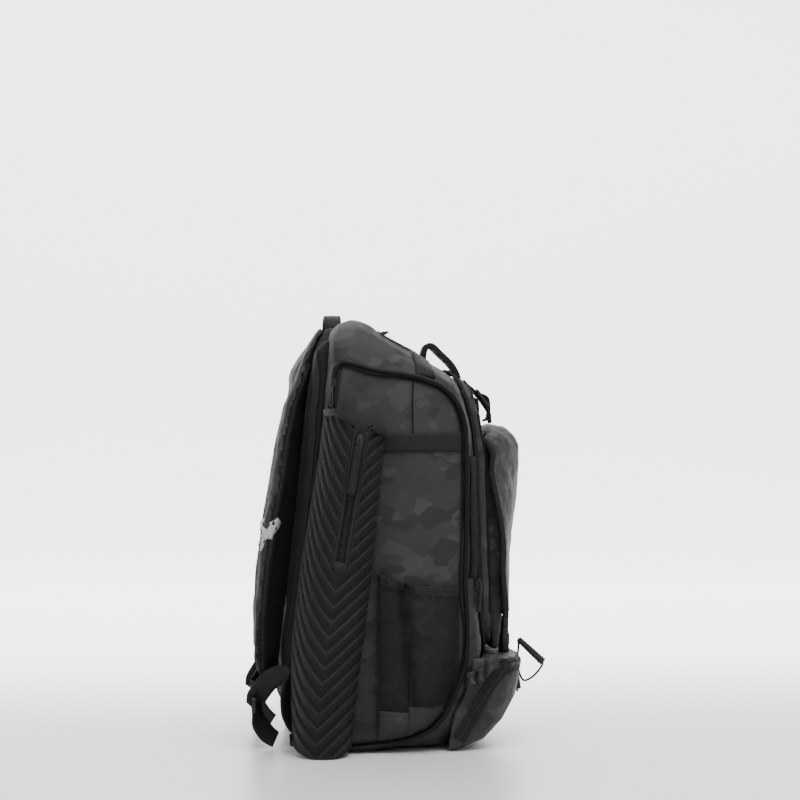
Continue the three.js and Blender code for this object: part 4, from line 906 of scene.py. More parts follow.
net_cord = moulded_finish("net_cord", (0.0095, 0.0092, 0.0098, 1), 0.5)
for side, way in sides:
    inward = Vector((-way, 0, 0))
    seam_column = 0.37
    foot_row = lambda column: 0.185 if column < seam_column else 0.225
    bm = bmesh.new()
    bmesh.ops.create_grid(bm, x_segments=net_cells[0], y_segments=net_cells[1], size=0.5)
    bmesh.ops.poke(bm, faces=bm.faces[:])
    old = [edge for edge in bm.edges if not edge.is_boundary
           and (abs(edge.verts[0].co.x - edge.verts[1].co.x) < 1e-6
                or abs(edge.verts[0].co.y - edge.verts[1].co.y) < 1e-6)]
    bmesh.ops.dissolve_edges(bm, edges=old, use_verts=False)
    for v in bm.verts:
        column, share = 0.5 + v.co.x, 0.5 + v.co.y
        low = foot_row(column)
        v.co = pocket_point(low + (0.97 - low) * share, column, way)
    bm.normal_update()
    bmesh.ops.wireframe(bm, faces=bm.faces[:], thickness=cord_width, offset=0, use_replace=True,
                        use_boundary=True,
                        use_even_offset=False, use_relative_offset=False)
    finish_piece(link_mesh(f"pocket_net_{side}", bm), "net", [net_cord], f"mesh_pocket_{side}")
    for part, first, last in (("rear", 0.0, seam_column), ("front", seam_column, 1.0)):
        foot_panel = pocket_sheet(f"pocket_foot_{part}_{side}", 0.0, foot_row(first + 0.01) + 0.012, first,
                                  last, (14, 10),
                                  0.0009, 0.0012, way)
        finish_piece(foot_panel, "cloth", [camo_cloth])
        hem = [pocket_point(foot_row(first + 0.01) + 0.002, first + (last - first) * i / 12, way, 0.0012)
               for i in range(13)]
        loose_stitch(smooth_route(hem, 0.004), inward, 0.0006)
    hem_tape = pocket_sheet(f"pocket_hem_{side}", 0.948, 1.004, 0.0, 1.0, (48, 4), 0.0022, 0.0018, way)
    finish_piece(hem_tape, "webbing", [binding], f"pocket_binding_{side}")
    hem_stitch = smooth_route([pocket_point(0.957, i / 24, way, 0.0024) for i in range(25)], 0.004)
    loose_stitch(hem_stitch, inward, 0.0003)

    # Elastic band across the side panel, from the sleeve to the piping
    band_line = smooth_route([(way * 0.3, y, 0.3715 - (y + 0.0085) * 0.012)
                              for y in (-0.004, -0.04, -0.075, -0.1035)], 0.005)
    band = strip(f"side_elastic_{side}", band_line, 0.0228, 0.0014, shell_ground, inward, lift=0.0004,
                 cells=6)
    finish_piece(band, "webbing", [binding], f"side_band_{side}")
    for y in (-0.1005, -0.0975):
        stitch(smooth_route([(way * 0.3, y, 0.3625), (way * 0.3, y, 0.383)], 0.005), shell_ground, inward,
               lift=0.0019)

# Rear zips: a coil zip down the gusset behind each sleeve, with a slider and a pale cord pull
# The cord is a short loop of round braid that hangs from the slider.
back_rows = [(0.0, 0.348), (0.023, 0.396), (0.115, 0.404), (0.258, 0.383), (0.396, 0.352), (0.533, 0.317),
             (0.671, 0.287),
             (0.809, 0.252), (0.9, 0.235), (0.966, 0.222), (1.0, 0.109)]


rear_inset = 0.007


def back_y(z):
    return between(back_rows, z / body_height, 1) * body_depth


pale_cord = moulded_finish("pull_braid", (0.06, 0.06, 0.06, 1), 0.6)
for side, way in sides:
    inward = Vector((-way, 0, 0))
    corner = Vector((-way * 0.8, -0.6, 0))
    rear_line = [Vector((way * 0.15, back_y(z) - rear_inset, z))
                 for z in [0.46 - 0.188 * i / 32 for i in range(33)]]
    rear_line = dropped(rear_line, shell_ground, corner)
    tape = strip(f"rear_zip_tape_{side}", rear_line, 0.0105, 0.001, shell_ground, corner, cells=3)
    finish_piece(tape, "zip", [zip_tape], f"rear_zip_{side}")
    coils = bmesh.new()
    coil_row(coils, rear_line, shell_ground, corner, 0.0042, lift=0.0016)
    spot, normal = on_ground(rear_line[3], shell_ground, corner)
    slider(coils, spot + normal * 0.001, tangent_of(rear_line, 3), normal, 1.1)
    finish_piece(link_mesh(f"rear_zip_coil_{side}", coils), "zip", [coil_plastic])
    hang = spot + normal * 0.0062
    loop_line = smooth_route([hang, hang + Vector((way * 0.0005, -0.0012, -0.012)),
                              hang + Vector((way * 0.0004, -0.0005, -0.026)),
                              hang + Vector((way * 0.0004, 0.0008, -0.0285)),
                              hang + Vector((way * 0.0004, 0.0022, -0.026)),
                              hang + Vector((way * 0.0005, 0.0012, -0.012)), hang], 0.0015)
    finish_piece(round_cord(f"rear_pull_cord_{side}", loop_line, 0.0006), "plastic", [pale_cord])

# Back pad: two lobes of foam under black spacer mesh, with a border of camouflage cloth sewn round them
# It is swollen by a short cloth simulation, and its middle channel lets air past the spine.
scene = bpy.context.scene
mesh_cell = 0.0034


def spacer_finish(name, tone, rough=0.78):
    """Spacer mesh: a close grid of round holes in a soft knit, deeper where the holes are and painted dark in
    them as painted shade.
    """
    material, tree, shader = start_finish(name, rough, sheen=0.03, specular=0.2)
    place = add(tree, "TexCoord").outputs["Object"]
    parts = add(tree, "SeparateXYZ", {0: place})
    u = sum_of(tree, "ADD", parts.outputs["X"], sum_of(tree, "MULTIPLY", parts.outputs["Y"], 0.35))
    one = wave(tree, sum_of(tree, "ADD", u, sum_of(tree, "MULTIPLY", parts.outputs["Z"], 0.577)), mesh_cell)
    two = wave(tree, sum_of(tree, "SUBTRACT", u, sum_of(tree, "MULTIPLY", parts.outputs["Z"], 0.577)),
               mesh_cell)
    three = wave(tree, parts.outputs["Z"], mesh_cell * 0.866)
    total = sum_of(tree, "ADD", sum_of(tree, "ADD", one, two), three)
    holes = add(tree, "MapRange", {0: total, 1: 0.3, 2: 1.5, 3: 1.0, 4: 0.0}).outputs[0]
    # The holes are painted dark, as painted shade inside them where the bump sinks.
    shade = sum_of(tree, "MULTIPLY", sum_of(tree, "ADD", sum_of(tree, "MULTIPLY", holes, 0.75), 0.35),
                   speckle(tree, place, 600.0, 0.8, 1.2))
    tinted(tree, shader, tone, shade)
    bumped(tree, shader, holes, 0.0007, 0.9)
    return material


def puffed(bm, pressure, cap, held=lambda place: False):
    """Swells a padded form by a cloth simulation. No point moves further than the cap."""
    before = [v.co.copy() for v in bm.verts]
    holder = link_mesh("swelling", bm)
    group = holder.vertex_groups.new(name="held")
    group.add([i for i, place in enumerate(before) if held(place)], 1.0, "REPLACE")
    cloth = holder.modifiers.new("swelling", "CLOTH")
    cloth.settings.quality = 4
    cloth.settings.use_pressure = True
    cloth.settings.uniform_pressure_force = pressure
    cloth.settings.effector_weights.gravity = 0
    cloth.settings.vertex_group_mass = "held"
    cloth.settings.tension_stiffness = 12
    cloth.settings.compression_stiffness = 8
    cloth.settings.bending_stiffness = 0.6
    cloth.point_cache.frame_start, cloth.point_cache.frame_end = 1, 16
    for step in range(1, 17):
        scene.frame_set(step)
    bm = settled(holder)
    scene.frame_set(1)
    for v, place in zip(bm.verts, before):
        move = v.co - place
        if move.length > cap:
            v.co = place + move.normalized() * cap
    return bm


spacer = spacer_finish("spacer_mesh", (0.0085, 0.0083, 0.0092, 1))
bm = smoothed(even_mesh(merged_copy("back_pad"), 0.0042), 5)
bm = puffed(bm, 3.0, 0.004, held=lambda place: place.y < back_y(place.z) + 0.006)
crumple(bm, 0.07, 0.0012, 21.0)
pad_ground = BVHTree.FromBMesh(bm)
pad = finish_piece(link_mesh("back_panel_pad", bm), "spacer_mesh", [spacer], "back_pad")

# Yoke: the folded cloth that closes the corner above the pad, where the straps are sewn in
bm = bmesh.new()
yoke_outline = [(0.046, 0.478), (0.062, 0.478), (0.071, 0.487), (0.066, 0.5), (0.057, 0.5125), (0.046, 0.514)]
ends = [[bm.verts.new((x, y, z)) for y, z in yoke_outline] for x in (-0.078, 0.078)]
bm.faces.new(ends[0])
bm.faces.new(ends[1][::-1])
for i in range(len(yoke_outline)):
    bm.faces.new((ends[0][i - 1], ends[1][i - 1], ends[1][i], ends[0][i]))
bmesh.ops.recalc_face_normals(bm, faces=bm.faces)
bm = smoothed(even_mesh(bm, 0.0022), 6)
crumple(bm, 0.03, 0.0008, 23.0)
finish_piece(link_mesh("strap_yoke", bm), "cloth", [camo_cloth])
toward_bag = Vector((0, -1, 0))
pad_border = []
for x, z in ((-0.08, 0.05), (-0.108, 0.07), (-0.113, 0.15), (-0.113, 0.28), (-0.113, 0.4), (-0.108, 0.465),
             (-0.08, 0.484),
             (0.08, 0.484), (0.108, 0.465), (0.113, 0.4), (0.113, 0.28), (0.113, 0.15), (0.108, 0.07),
             (0.08, 0.05)):
    pad_border.append((x, 0.3, z))
border_line = dropped(smooth_route(pad_border, 0.006, closed=True), pad_ground, toward_bag)
border = strip("back_pad_border", border_line, 0.013, 0.0014, pad_ground, toward_bag, lift=0.0002, cells=4,
               closed=True)
finish_piece(border, "webbing", [binding])
inner_border = [on_ground(Vector((p.x * 0.93, 0.3, 0.267 + (p.z - 0.267) * 0.965)), pad_ground, toward_bag)[0]
                for p in border_line]
stitch(inner_border, pad_ground, toward_bag)
for x in (-0.052, 0.052):
    for z in (0.14, 0.225, 0.31):
        stitch(smooth_route([(x - 0.034, 0.3, z - 0.008), (x, 0.3, z + 0.004), (x + 0.034, 0.3, z - 0.008)],
                            0.005),
               pad_ground, toward_bag, lift=-0.0002)

# Shoulder straps: curved foam straps under spacer mesh, bound along both edges, with a reflective tab
# Webbing runs from the foot of each strap through a ladder lock to an anchor at the base of the bag.
strap_reach, strap_width, pad_thickness = 0.036, 0.066, 0.018
strap_rows = [
    (0.975, -0.22, 0.36, 0.86, 0.62, 0), (0.955, -0.12, 0.37, 0.88, 0.68, 0),
    (0.93, 0.03, 0.38, 0.92, 0.75, 0.02),
    (0.895, 0.19, 0.4, 0.95, 0.82, 0.06), (0.86, 0.27, 0.42, 0.98, 0.9, 0.12),
    (0.805, 0.41, 0.45, 1, 1, 0.29),
    (0.72, 0.49, 0.49, 1, 1, 0.38), (0.62, 0.54, 0.54, 1, 1, 0.43), (0.52, 0.61, 0.58, 1, 1, 0.51),
    (0.41, 0.63, 0.61, 1, 1, 0.53), (0.3, 0.63, 0.63, 0.96, 0.98, 0.54), (0.21, 0.58, 0.64, 0.84, 0.9, 0.54),
    (0.17, 0.52, 0.64, 0.6, 0.7, 0.5)]
strap_tilts = [(row[0] * body_height, row[5]) for row in reversed(strap_rows)]


def strap_centre(row, way):
    up, away, aside = row[:3]
    return Vector((way * aside * half_width, back_y(up * body_height) + pad_thickness + away * strap_reach,
                   up * body_height))


reflective, tree, shader = start_finish("reflective_tape", 0.42, specular=0.6)
across, along, place = ribbon_places(tree)
beads = sum_of(tree, "MULTIPLY", wave(tree, across, 0.0009), wave(tree, along, 0.0009))
tinted(tree, shader, (0.42, 0.42, 0.43, 1), speckle(tree, place, 900.0, 0.85, 1.15))
bumped(tree, shader, beads, 0.00008, 0.6)

for side, way in sides:
    bm = smoothed(even_mesh(merged_copy(f"shoulder_strap_{side}"), 0.0032), 4)
    if side == "right":
        for v in bm.verts:
            v.co.y += 0.0085 * math.exp(-((v.co.z - 0.466) / 0.021) ** 2)
    bm = puffed(bm, 3.5, 0.003)
    crumple(bm, 0.05, 0.0009, 31.0 + way)
    strap_ground = BVHTree.FromBMesh(bm)
    for face in bm.faces:
        tilt = between(strap_tilts, face.calc_center_median().z, 1)
        away = Vector((-way * tilt, math.sqrt(1 - tilt * tilt), 0))
        face.material_index = 1 if face.normal.dot(away) > -0.35 else 0
    strap = finish_piece(link_mesh(f"strap_pad_{side}", bm), "spacer_mesh", [spacer, camo_cloth],
                         f"shoulder_strap_{side}")
    centres = [strap_centre(row, way) for row in strap_rows]
    away = Vector((-way * 0.4, 0.92, 0))
    for edge, edge_way in (("outer", 1), ("inner", -1)):
        edge_line = []
        for row, centre in zip(strap_rows[3:], centres[3:]):
            lean = Vector((way * math.sqrt(1 - row[5] ** 2), row[5], 0))
            edge_line.append(centre + lean * edge_way * (row[3] * strap_width / 2 - 0.0095))
        edge_line = dropped(smooth_route(edge_line, 0.006), strap_ground, away)
        tape = strip(f"strap_binding_{edge}_{side}", edge_line, 0.0065, 0.0011, strap_ground, away, cells=3)
        finish_piece(tape, "webbing", [binding])
    for z0, z1 in ((0.36, 0.36), (0.2, 0.2)):
        stitch(smooth_route([(way * 0.06, 0.3, z0), (way * 0.088, 0.3, z1 + 0.004), (way * 0.115, 0.3, z1)],
                            0.005),
               strap_ground, toward_bag, lift=-0.0002)
    tab_line = [on_ground(p, strap_ground, toward_bag)[0] for p in smooth_route(
        [(way * 0.054, 0.3, 0.2825), (way * 0.085, 0.3, 0.271), (way * 0.114, 0.3, 0.26)], 0.004)]
    tab = strip(f"strap_reflective_{side}", tab_line, 0.012, 0.0012, strap_ground, toward_bag, lift=0.0003,
                cells=3)
    finish_piece(tab, "reflective", [reflective], f"reflective_tab_{side}")
    side_tab = [Vector((way * (0.118 - 0.857 * inset), 0.1365 - 0.515 * inset - 0.28 * (z - 0.258), z))
                for inset, z in ((0.003, 0.2565), (0.011, 0.2675), (0.018, 0.2775))]
    side_tab = dropped(smooth_route(side_tab, 0.004), strap_ground, away)
    tab = strip(f"strap_reflective_edge_{side}", side_tab, 0.0115, 0.001, strap_ground, away, lift=0.0006,
                cells=3)
    finish_piece(tab, "reflective", [reflective])

    end = centres[-1]
    end_x, anchor = abs(end.x), half_width - 0.002 - 0.0125
    lock_y, lock_z = end.y + 0.014, end.z - 0.036
    # Places down the webbing from its anchor over its fold to the lock, and the way that its width lies
    lower = [
        (anchor, back_y(0.02) - 0.002, 0.024, (1, 0, 0)),
        (anchor, back_y(0.02) + 0.006, 0.027, (0.9, 0.35, 0)),
        (anchor + 0.001, 0.1045, 0.045, (0.8, 0.6, 0)), (anchor + 0.001, 0.1055, 0.066, (0.7, 0.6, 0.3)),
        (anchor - 0.001, 0.1, 0.083, (0.3, 0.5, 0.8)), (anchor - 0.003, 0.1025, 0.0905, (0.1, 0.45, 0.87)),
        (anchor - 0.008, 0.1093, 0.0922, (0.1, 0.45, 0.9)),
        (anchor - 0.018, 0.1246, 0.0861, (0.1, 0.5, 0.87)),
        (anchor - 0.028, 0.1368, 0.0708, (0.15, 0.6, 0.78)), (end_x + 0.004, 0.1422, 0.061, (0.3, 0.6, 0.7)),
        (end_x, lock_y + 0.0005, lock_z + 0.002, (0.8, 0.4, 0.4)), (end_x, 0.1405, 0.04, (0.8, 0.45, -0.2)),
        (end_x, 0.1375, 0.029, (0.6, 0.6, -0.5)), (end_x - 0.002, 0.1285, 0.0165, (0.6, 0.6, -0.5)),
        (end_x - 0.003, 0.1185, 0.0095, (0.7, 0.5, -0.4))]
    web_line = smooth_route([(way * x, y, z) for x, y, z, _ in lower], 0.004)
    web_ways = [Vector((way * wide[0], wide[1], wide[2])).normalized() for _, _, _, wide in lower]
    web_marks = [min(range(len(web_line)), key=lambda i,
                     mark=Vector((way * x, y, z)): (web_line[i] - mark).length)
                 for x, y, z, _ in lower]

    def web_across(share, line=web_line, marks=web_marks, ways=web_ways):
        """The way that the webbing's width lies at a share of its length, between the marks on its line."""
        at = round(share * (len(line) - 1))
        for low, high, one, two in zip(marks, marks[1:], ways, ways[1:]):
            if at <= high:
                return one.lerp(two, (at - low) / max(high - low, 1)).normalized()
        return ways[-1]

    tape = strip(f"strap_web_{side}", web_line, 0.025, 0.0019, across=web_across, toward=toward_bag, cells=5,
                 offset=0)
    finish_piece(tape, "webbing", [webbing], f"strap_webbing_{side}")
    tail = strip(f"strap_tail_web_{side}", smooth_route([(end.x, end.y, end.z + 0.008),
                                                         (end.x, end.y + 0.008, end.z - 0.008),
                 (end.x, lock_y + 0.0045, lock_z + 0.0115)], 0.004), 0.022, 0.0019, across=(1, 0, 0),
                 toward=toward_bag,
                 cells=4, offset=0)
    finish_piece(tail, "webbing", [webbing], f"strap_tail_{side}")
    lock = bevelled(link_mesh(f"strap_ladder_{side}", merged_copy(f"strap_lock_{side}")), 0.0009)
    finish_piece(lock, "plastic", [acetal], f"strap_lock_{side}")

# Front compartment: a shallow zipped box of camouflage cloth on the front of the bag, piped round its face
# A coil zip runs in an arch round it, with two sliders that hang below the loop tape.
toward_front = Vector((0, 1, 0))
front_width, front_height, front_corner, front_foot = 0.232, 0.328, 0.044, 0.123


def arch_route(grow, y=-0.4, step=0.005, closed=True):
    """The rounded rectangle round the front compartment, moved outward."""
    x, bend = front_width / 2 + grow, front_corner + grow
    low, high = front_foot - grow, front_foot + front_height + grow
    route = []
    for cx, cz, start in ((x - bend, high - bend, 0), (-x + bend, high - bend, 90),
                          (-x + bend, low + bend, 180),
                          (x - bend, low + bend, 270)):
        route += [(cx + bend * math.cos(math.radians(start + a)), y,
                   cz + bend * math.sin(math.radians(start + a)))
                  for a in (0, 30, 60, 90)]
    return smooth_route(route, step, closed=closed)


bm = smoothed(even_mesh(merged_copy("front_compartment"), 0.0023), 3)
crumple(bm, 0.09, 0.0016, 41.0)
front_ground = BVHTree.FromBMesh(bm)
finish_piece(link_mesh("front_box", bm), "cloth", [camo_cloth], "front_compartment")
zip_line_front = [on_ground(p, shell_ground, toward_front)[0] + Vector((0, -0.004, 0))
                  for p in arch_route(0.0052)]
tape = strip("front_zip_tape", zip_line_front, 0.0095, 0.003, shell_ground, toward_front, lift=0.0012,
             cells=3, closed=True)
finish_piece(tape, "zip", [zip_tape], "front_zip")
coils = bmesh.new()
coil_row(coils, zip_line_front + zip_line_front[:1], shell_ground, toward_front, 0.0046, lift=0.0048)
finish_piece(link_mesh("front_zip_coil", coils), "zip", [coil_plastic])
face_line = dropped(arch_route(-0.0035), front_ground, toward_front)
cord = strip("front_box_piping", face_line, 0.0034, 0.0022, front_ground, toward_front, lift=-0.0004, cells=3,
             closed=True)
finish_piece(cord, "piping", [piping_material])

# Loop tape beside the arch: a fuzzy pile strip on the corner of the gusset, stitched round its edge
# The zip's sliders and their cord pulls hang below it.
pile, tree, shader = start_finish("loop_pile", 0.9, sheen=0.06, specular=0.1)
place = add(tree, "TexCoord").outputs["Object"]
tufts = speckle(tree, place, 1100.0, 0.0, 1.0, 5.0)
# The tufts are painted paler on top and darker between them, following their bump height: painted shade.
tinted(tree, shader, (0.0085, 0.0082, 0.0086, 1),
       sum_of(tree, "ADD", sum_of(tree, "MULTIPLY", tufts, 1.2), 0.3))
bumped(tree, shader, tufts, 0.0009, 1.0)
for side, way in sides:
    corner_way = Vector((-way * 0.55, 0.83, 0))
    pile_line = smooth_route([(way * 0.1385, -0.119, z) for z in (0.2085, 0.255, 0.31, 0.355)], 0.004)
    pile_line = dropped(pile_line, shell_ground, corner_way)
    tape = strip(f"loop_tape_{side}", pile_line, 0.0205, 0.0022, shell_ground, corner_way, lift=0.0004,
                 cells=8)
    finish_piece(tape, "hook_and_loop", [pile], f"loop_strip_{side}")
    pulls = bmesh.new()
    spot, normal = on_ground(Vector((way * 0.1345, -0.123, 0.199)), shell_ground, corner_way)
    slider(pulls, spot + normal * 0.0005, Vector((0, 0, 1)), normal, 1.3)
    finish_piece(link_mesh(f"front_slider_{side}", pulls), "plastic", [acetal], f"front_pull_{side}")
    hang = [spot + normal * 0.0068, spot + normal * 0.0052 + Vector((0, 0, -0.012)),
            spot + normal * 0.0036 + Vector((0, 0, -0.032))]
    tape = strip(f"front_pull_tape_{side}", smooth_route(hang, 0.003), 0.0066, 0.0015,
                 across=(0.83, way * 0.55, 0),
                 toward=corner_way, cells=2)
    finish_piece(tape, "webbing", [webbing])

# Front flap and pocket: a padded flap of camouflage cloth with bound edges bulges over an open pocket
# The flap is swollen by a short cloth simulation and held along its top seam.
flap_width, flap_top, flap_fall, flap_reach = 0.212, 0.396, 0.02, 0.058
lower_height, buckle_height, flap_gap = 0.112, 0.044, 0.002
flap_foot = lower_height + buckle_height + flap_gap
flap_height = flap_top - flap_foot
flap_rows = [
    (0.03, -0.05, -0.05, 1), (0, 0.42, 0.03, 1), (0.015, 0.76, 0.08, 1), (0.06, 0.93, 0.14, 0.8),
    (0.11, 1, 0.18, 0.6),
    (0.24, 0.92, 0.14, 0.2), (0.42, 0.8, 0.25, 0), (0.6, 0.66, 0.34, 0), (0.76, 0.58, 0.31, 0),
    (0.9, 0.48, 0.34, 0),
    (1, 0.4, 0.34, 0)]
front_rows = [(0.0, -0.365), (0.019, -0.448), (0.073, -0.513), (0.143, -0.57), (0.229, -0.587),
              (0.35, -0.574),
              (0.514, -0.561), (0.683, -0.548), (0.763, -0.513), (0.828, -0.474), (0.862, -0.426),
              (0.889, -0.335)]


def front_y(z):
    return between(front_rows, z / body_height, 1) * body_depth


def flap_point(row, column, lift=0.0):
    down, mid, side_reach, fall = flap_rows[row]
    turn = abs(column) ** 2.2
    z = flap_top - down * flap_height - fall * flap_fall * turn
    lean = 1 if down < 0.05 else 0.25
    reach = (mid + (side_reach - mid) * turn) * flap_reach
    return Vector((column * flap_width / 2, front_y(z) - 0.0113 - reach - lift,
                   z + lift * lean))


bm = smoothed(even_mesh(merged_copy("front_flap"), 0.0021), 6)
bm = puffed(bm, 2.5, 0.0035, held=lambda place: place.z > flap_top - 0.05
            and place.y > front_y(place.z) - 0.02)
crumple(bm, 0.06, 0.0014, 51.0)
crumple(bm, 0.025, 0.0005, 53.0, stretch=(1, 1, 0.5))
flap_ground = BVHTree.FromBMesh(bm)
flap = finish_piece(link_mesh("flap_cover", bm), "cloth", [camo_cloth], "front_flap")
for way in (-1, 1):
    inward = Vector((-way, 0, 0))
    hem = smooth_route([flap_point(row, way * 0.985) for row in range(1, 11)], 0.005)
    hem = [on_ground(p + Vector((way * 0.02, 0, 0)), flap_ground, (-way * 0.75, 0.66, 0))[0] for p in hem]
    stitch(hem, flap_ground, (-way * 0.75, 0.66, 0), lift=0.0001)
    edge_line = smooth_route([flap_point(row, way, 0.0004) + Vector((way * 0.0006, 0.0014, 0))
                              for row in range(1, 11)], 0.005)
    tape = strip(f"flap_binding_{'left' if way < 0 else 'right'}", edge_line, 0.0062, 0.0012,
                 across=(0, 1, 0.2),
                 toward=inward, cells=2)
    finish_piece(tape, "webbing", [binding])
foot_line = [on_ground(Vector((x * flap_width / 2, -0.4, flap_foot + 0.0075)), flap_ground, toward_front)[0]
             for x in [i / 20 - 1 for i in range(1, 40)]]
stitch(foot_line, flap_ground, toward_front)
bm = smoothed(even_mesh(merged_copy("front_pocket"), 0.0023), 3)
crumple(bm, 0.06, 0.0012, 57.0)
finish_piece(link_mesh("flap_pocket", bm), "cloth", [camo_cloth], "front_pocket")

# Lower pocket: a bellied pocket of camouflage cloth round the front foot, with darts and a ruffled upper edge
# A broad coil zip runs round its sides and top, and two pulls with rubber grips hang from it.
lower_width, lower_reach, belly_reach = 0.292, 0.046, 0.0085
bm = smoothed(even_mesh(merged_copy("lower_pocket"), 0.0024), 3)
for v in bm.verts:
    proud = min(1.0, max(0.0, (front_y(v.co.z) - 0.012 - v.co.y) / 0.02))
    above_foot = min(1.0, 0.25 + max(v.co.z, 0.0) / 0.045)
    off_sides = min(1.0, max(0.0, (0.146 - abs(v.co.x)) / 0.012))
    v.co.y -= belly_reach * proud * above_foot * off_sides
crumple(bm, 0.07, 0.0022, 61.0, where=off_base)
crumple(bm, 0.028, 0.0012, 63.0, stretch=(1, 1.6, 0.6), where=off_base)
lower_ground = BVHTree.FromBMesh(bm)
finish_piece(link_mesh("foot_pocket", bm), "cloth", [camo_cloth], "lower_pocket")
coils = bmesh.new()
ring_top = lower_height - 0.003 - 0.0075
top_line = [on_ground(p, lower_ground, toward_front)[0] for p in smooth_route(
    [(x, -0.4, ring_top) for x in (-0.136, -0.09, 0, 0.09, 0.136)], 0.004)]
tape = strip("foot_zip_tape", top_line, 0.0155, 0.0016, lower_ground, toward_front, lift=0.0004, cells=6)
finish_piece(tape, "zip", [zip_tape], "lower_zip")
coil_row(coils, top_line, lower_ground, toward_front, 0.0054, lift=0.0026)
for side, way in sides:
    inward = Vector((-way, 0, 0))
    side_line = smooth_route([(way * 0.3, y, z) for y, z in (
        (-0.168, 0.103), (-0.152, 0.094), (-0.1365, 0.076), (-0.1195, 0.046), (-0.1, 0.014))], 0.004)
    side_line = dropped(side_line, lower_ground, inward)
    tape = strip(f"foot_zip_side_{side}", side_line, 0.0155, 0.0016, lower_ground, inward, lift=0.0004,
                 cells=6)
    finish_piece(tape, "zip", [zip_tape])
    coil_row(coils, side_line, lower_ground, inward, 0.0058, lift=0.0026)
finish_piece(link_mesh("foot_zip_coil", coils), "zip", [coil_plastic])
ruffle_rows = [(-0.475, 0.155, 0.2), (-0.5, 0.172, 1), (-0.525, 0.178, -0.4), (-0.55, 0.18, 0.9),
               (-0.57, 0.19, 0),
               (-0.6, 0.204, 1), (-0.64, 0.216, 0.3)]
for side, way in sides:
    inward = Vector((-way, 0, 0))
    edge_line = [Vector((way * (lower_width / 2 + 0.0016 + 0.0055 * max(wave_height, 0)), y * body_depth,
                         z * body_height - 0.004 + 0.003 * wave_height)) for y, z, wave_height in ruffle_rows]
    ruffle = strip(f"foot_ruffle_{side}", smooth_route(edge_line, 0.002), 0.0165, 0.0014,
                   across=(0, 0.25 * way, 1),
                   toward=inward, cells=6)
    finish_piece(ruffle, "cloth", [camo_cloth], f"lower_ruffle_{side}")
    loose_stitch(smooth_route([p + Vector((way * 0.0016, 0, -0.0035)) for p in edge_line], 0.003), inward,
                 0.0004)
    dart = smooth_route([(way * 0.3, -0.112, 0.052), (way * 0.3, -0.122, 0.0465), (way * 0.3, -0.132, 0.041)],
                        0.004)
    stitch(dart, lower_ground, inward)

pull_z = lower_height * 0.9
pull_y = front_y(pull_z) - 0.92 * lower_reach - 0.0095
rubber = moulded_finish("grip_rubber", (0.0135, 0.0132, 0.0135, 1), 0.55)
# Each pull: side, place across the bag, knee of its cord and foot of its grip, as moves from the slider
for side, x, knee, foot in (("left", -0.012, (-0.006, 0.022), (-0.037, -0.007)),
                            ("right", 0.014, (-0.004, -0.008), (-0.008, -0.044))):
    start = Vector((x, pull_y, pull_z))
    knee, foot = (start + Vector((0, *move)) for move in (knee, foot))
    grip_along = (foot - knee).normalized()
    bm = bmesh.new()
    slider(bm, start + Vector((0, 0.001, 0)), Vector((1, 0, 0)), Vector((0, -1, 0)), 1.3)
    finish_piece(link_mesh(f"foot_slider_{side}", bm), "rubber_pull", [acetal])
    bm = bmesh.new()
    bmesh.ops.create_cone(bm, cap_ends=True, segments=20, radius1=0.0042, radius2=0.0056,
                          depth=(foot - knee).length)
    bmesh.ops.subdivide_edges(bm, edges=[e for e in bm.edges
                                         if abs(e.verts[0].co.z - e.verts[1].co.z) > 0.01], cuts=18)
    for v in bm.verts:
        ridge = 1 + 0.14 * math.cos(v.co.z / 0.0042 * 2 * math.pi)
        v.co.x *= ridge
        v.co.y *= ridge * 0.88
    turn = Vector((0, 0, 1)).rotation_difference(grip_along).to_matrix().to_4x4()
    bmesh.ops.transform(bm, matrix=Matrix.Translation((knee + foot) / 2) @ turn, verts=bm.verts)
    grip = bevelled(link_mesh(f"foot_grip_{side}", bm), 0.0008, 2, math.radians(50))
    finish_piece(grip, "rubber_pull", [rubber], f"lower_pull_{side}")
    sag = Vector((0, -0.012, -0.03)) if side == "left" else Vector((0, -0.004, -0.012))
    for part, line in (("a", [start + Vector((0, -0.0045, 0)),
                              start.lerp(knee, 0.5) + Vector((0, -0.003, 0.002)), knee,
                              knee + grip_along * 0.008]),
                       ("b", [start + Vector((0.002, -0.0045, 0)), start + Vector((0.003, -0.005, -0.012)),
                              start + sag,
                              (start + sag).lerp(foot, 0.5) + Vector((0, -0.001, -0.006)),
                              foot + Vector((0.001, 0, -0.003)),
                              foot - grip_along * 0.004])):
        cord = round_cord(f"foot_cord_{part}_{side}", smooth_route(line, 0.002), 0.0014)
        finish_piece(cord, "rubber_pull", [coil_plastic])

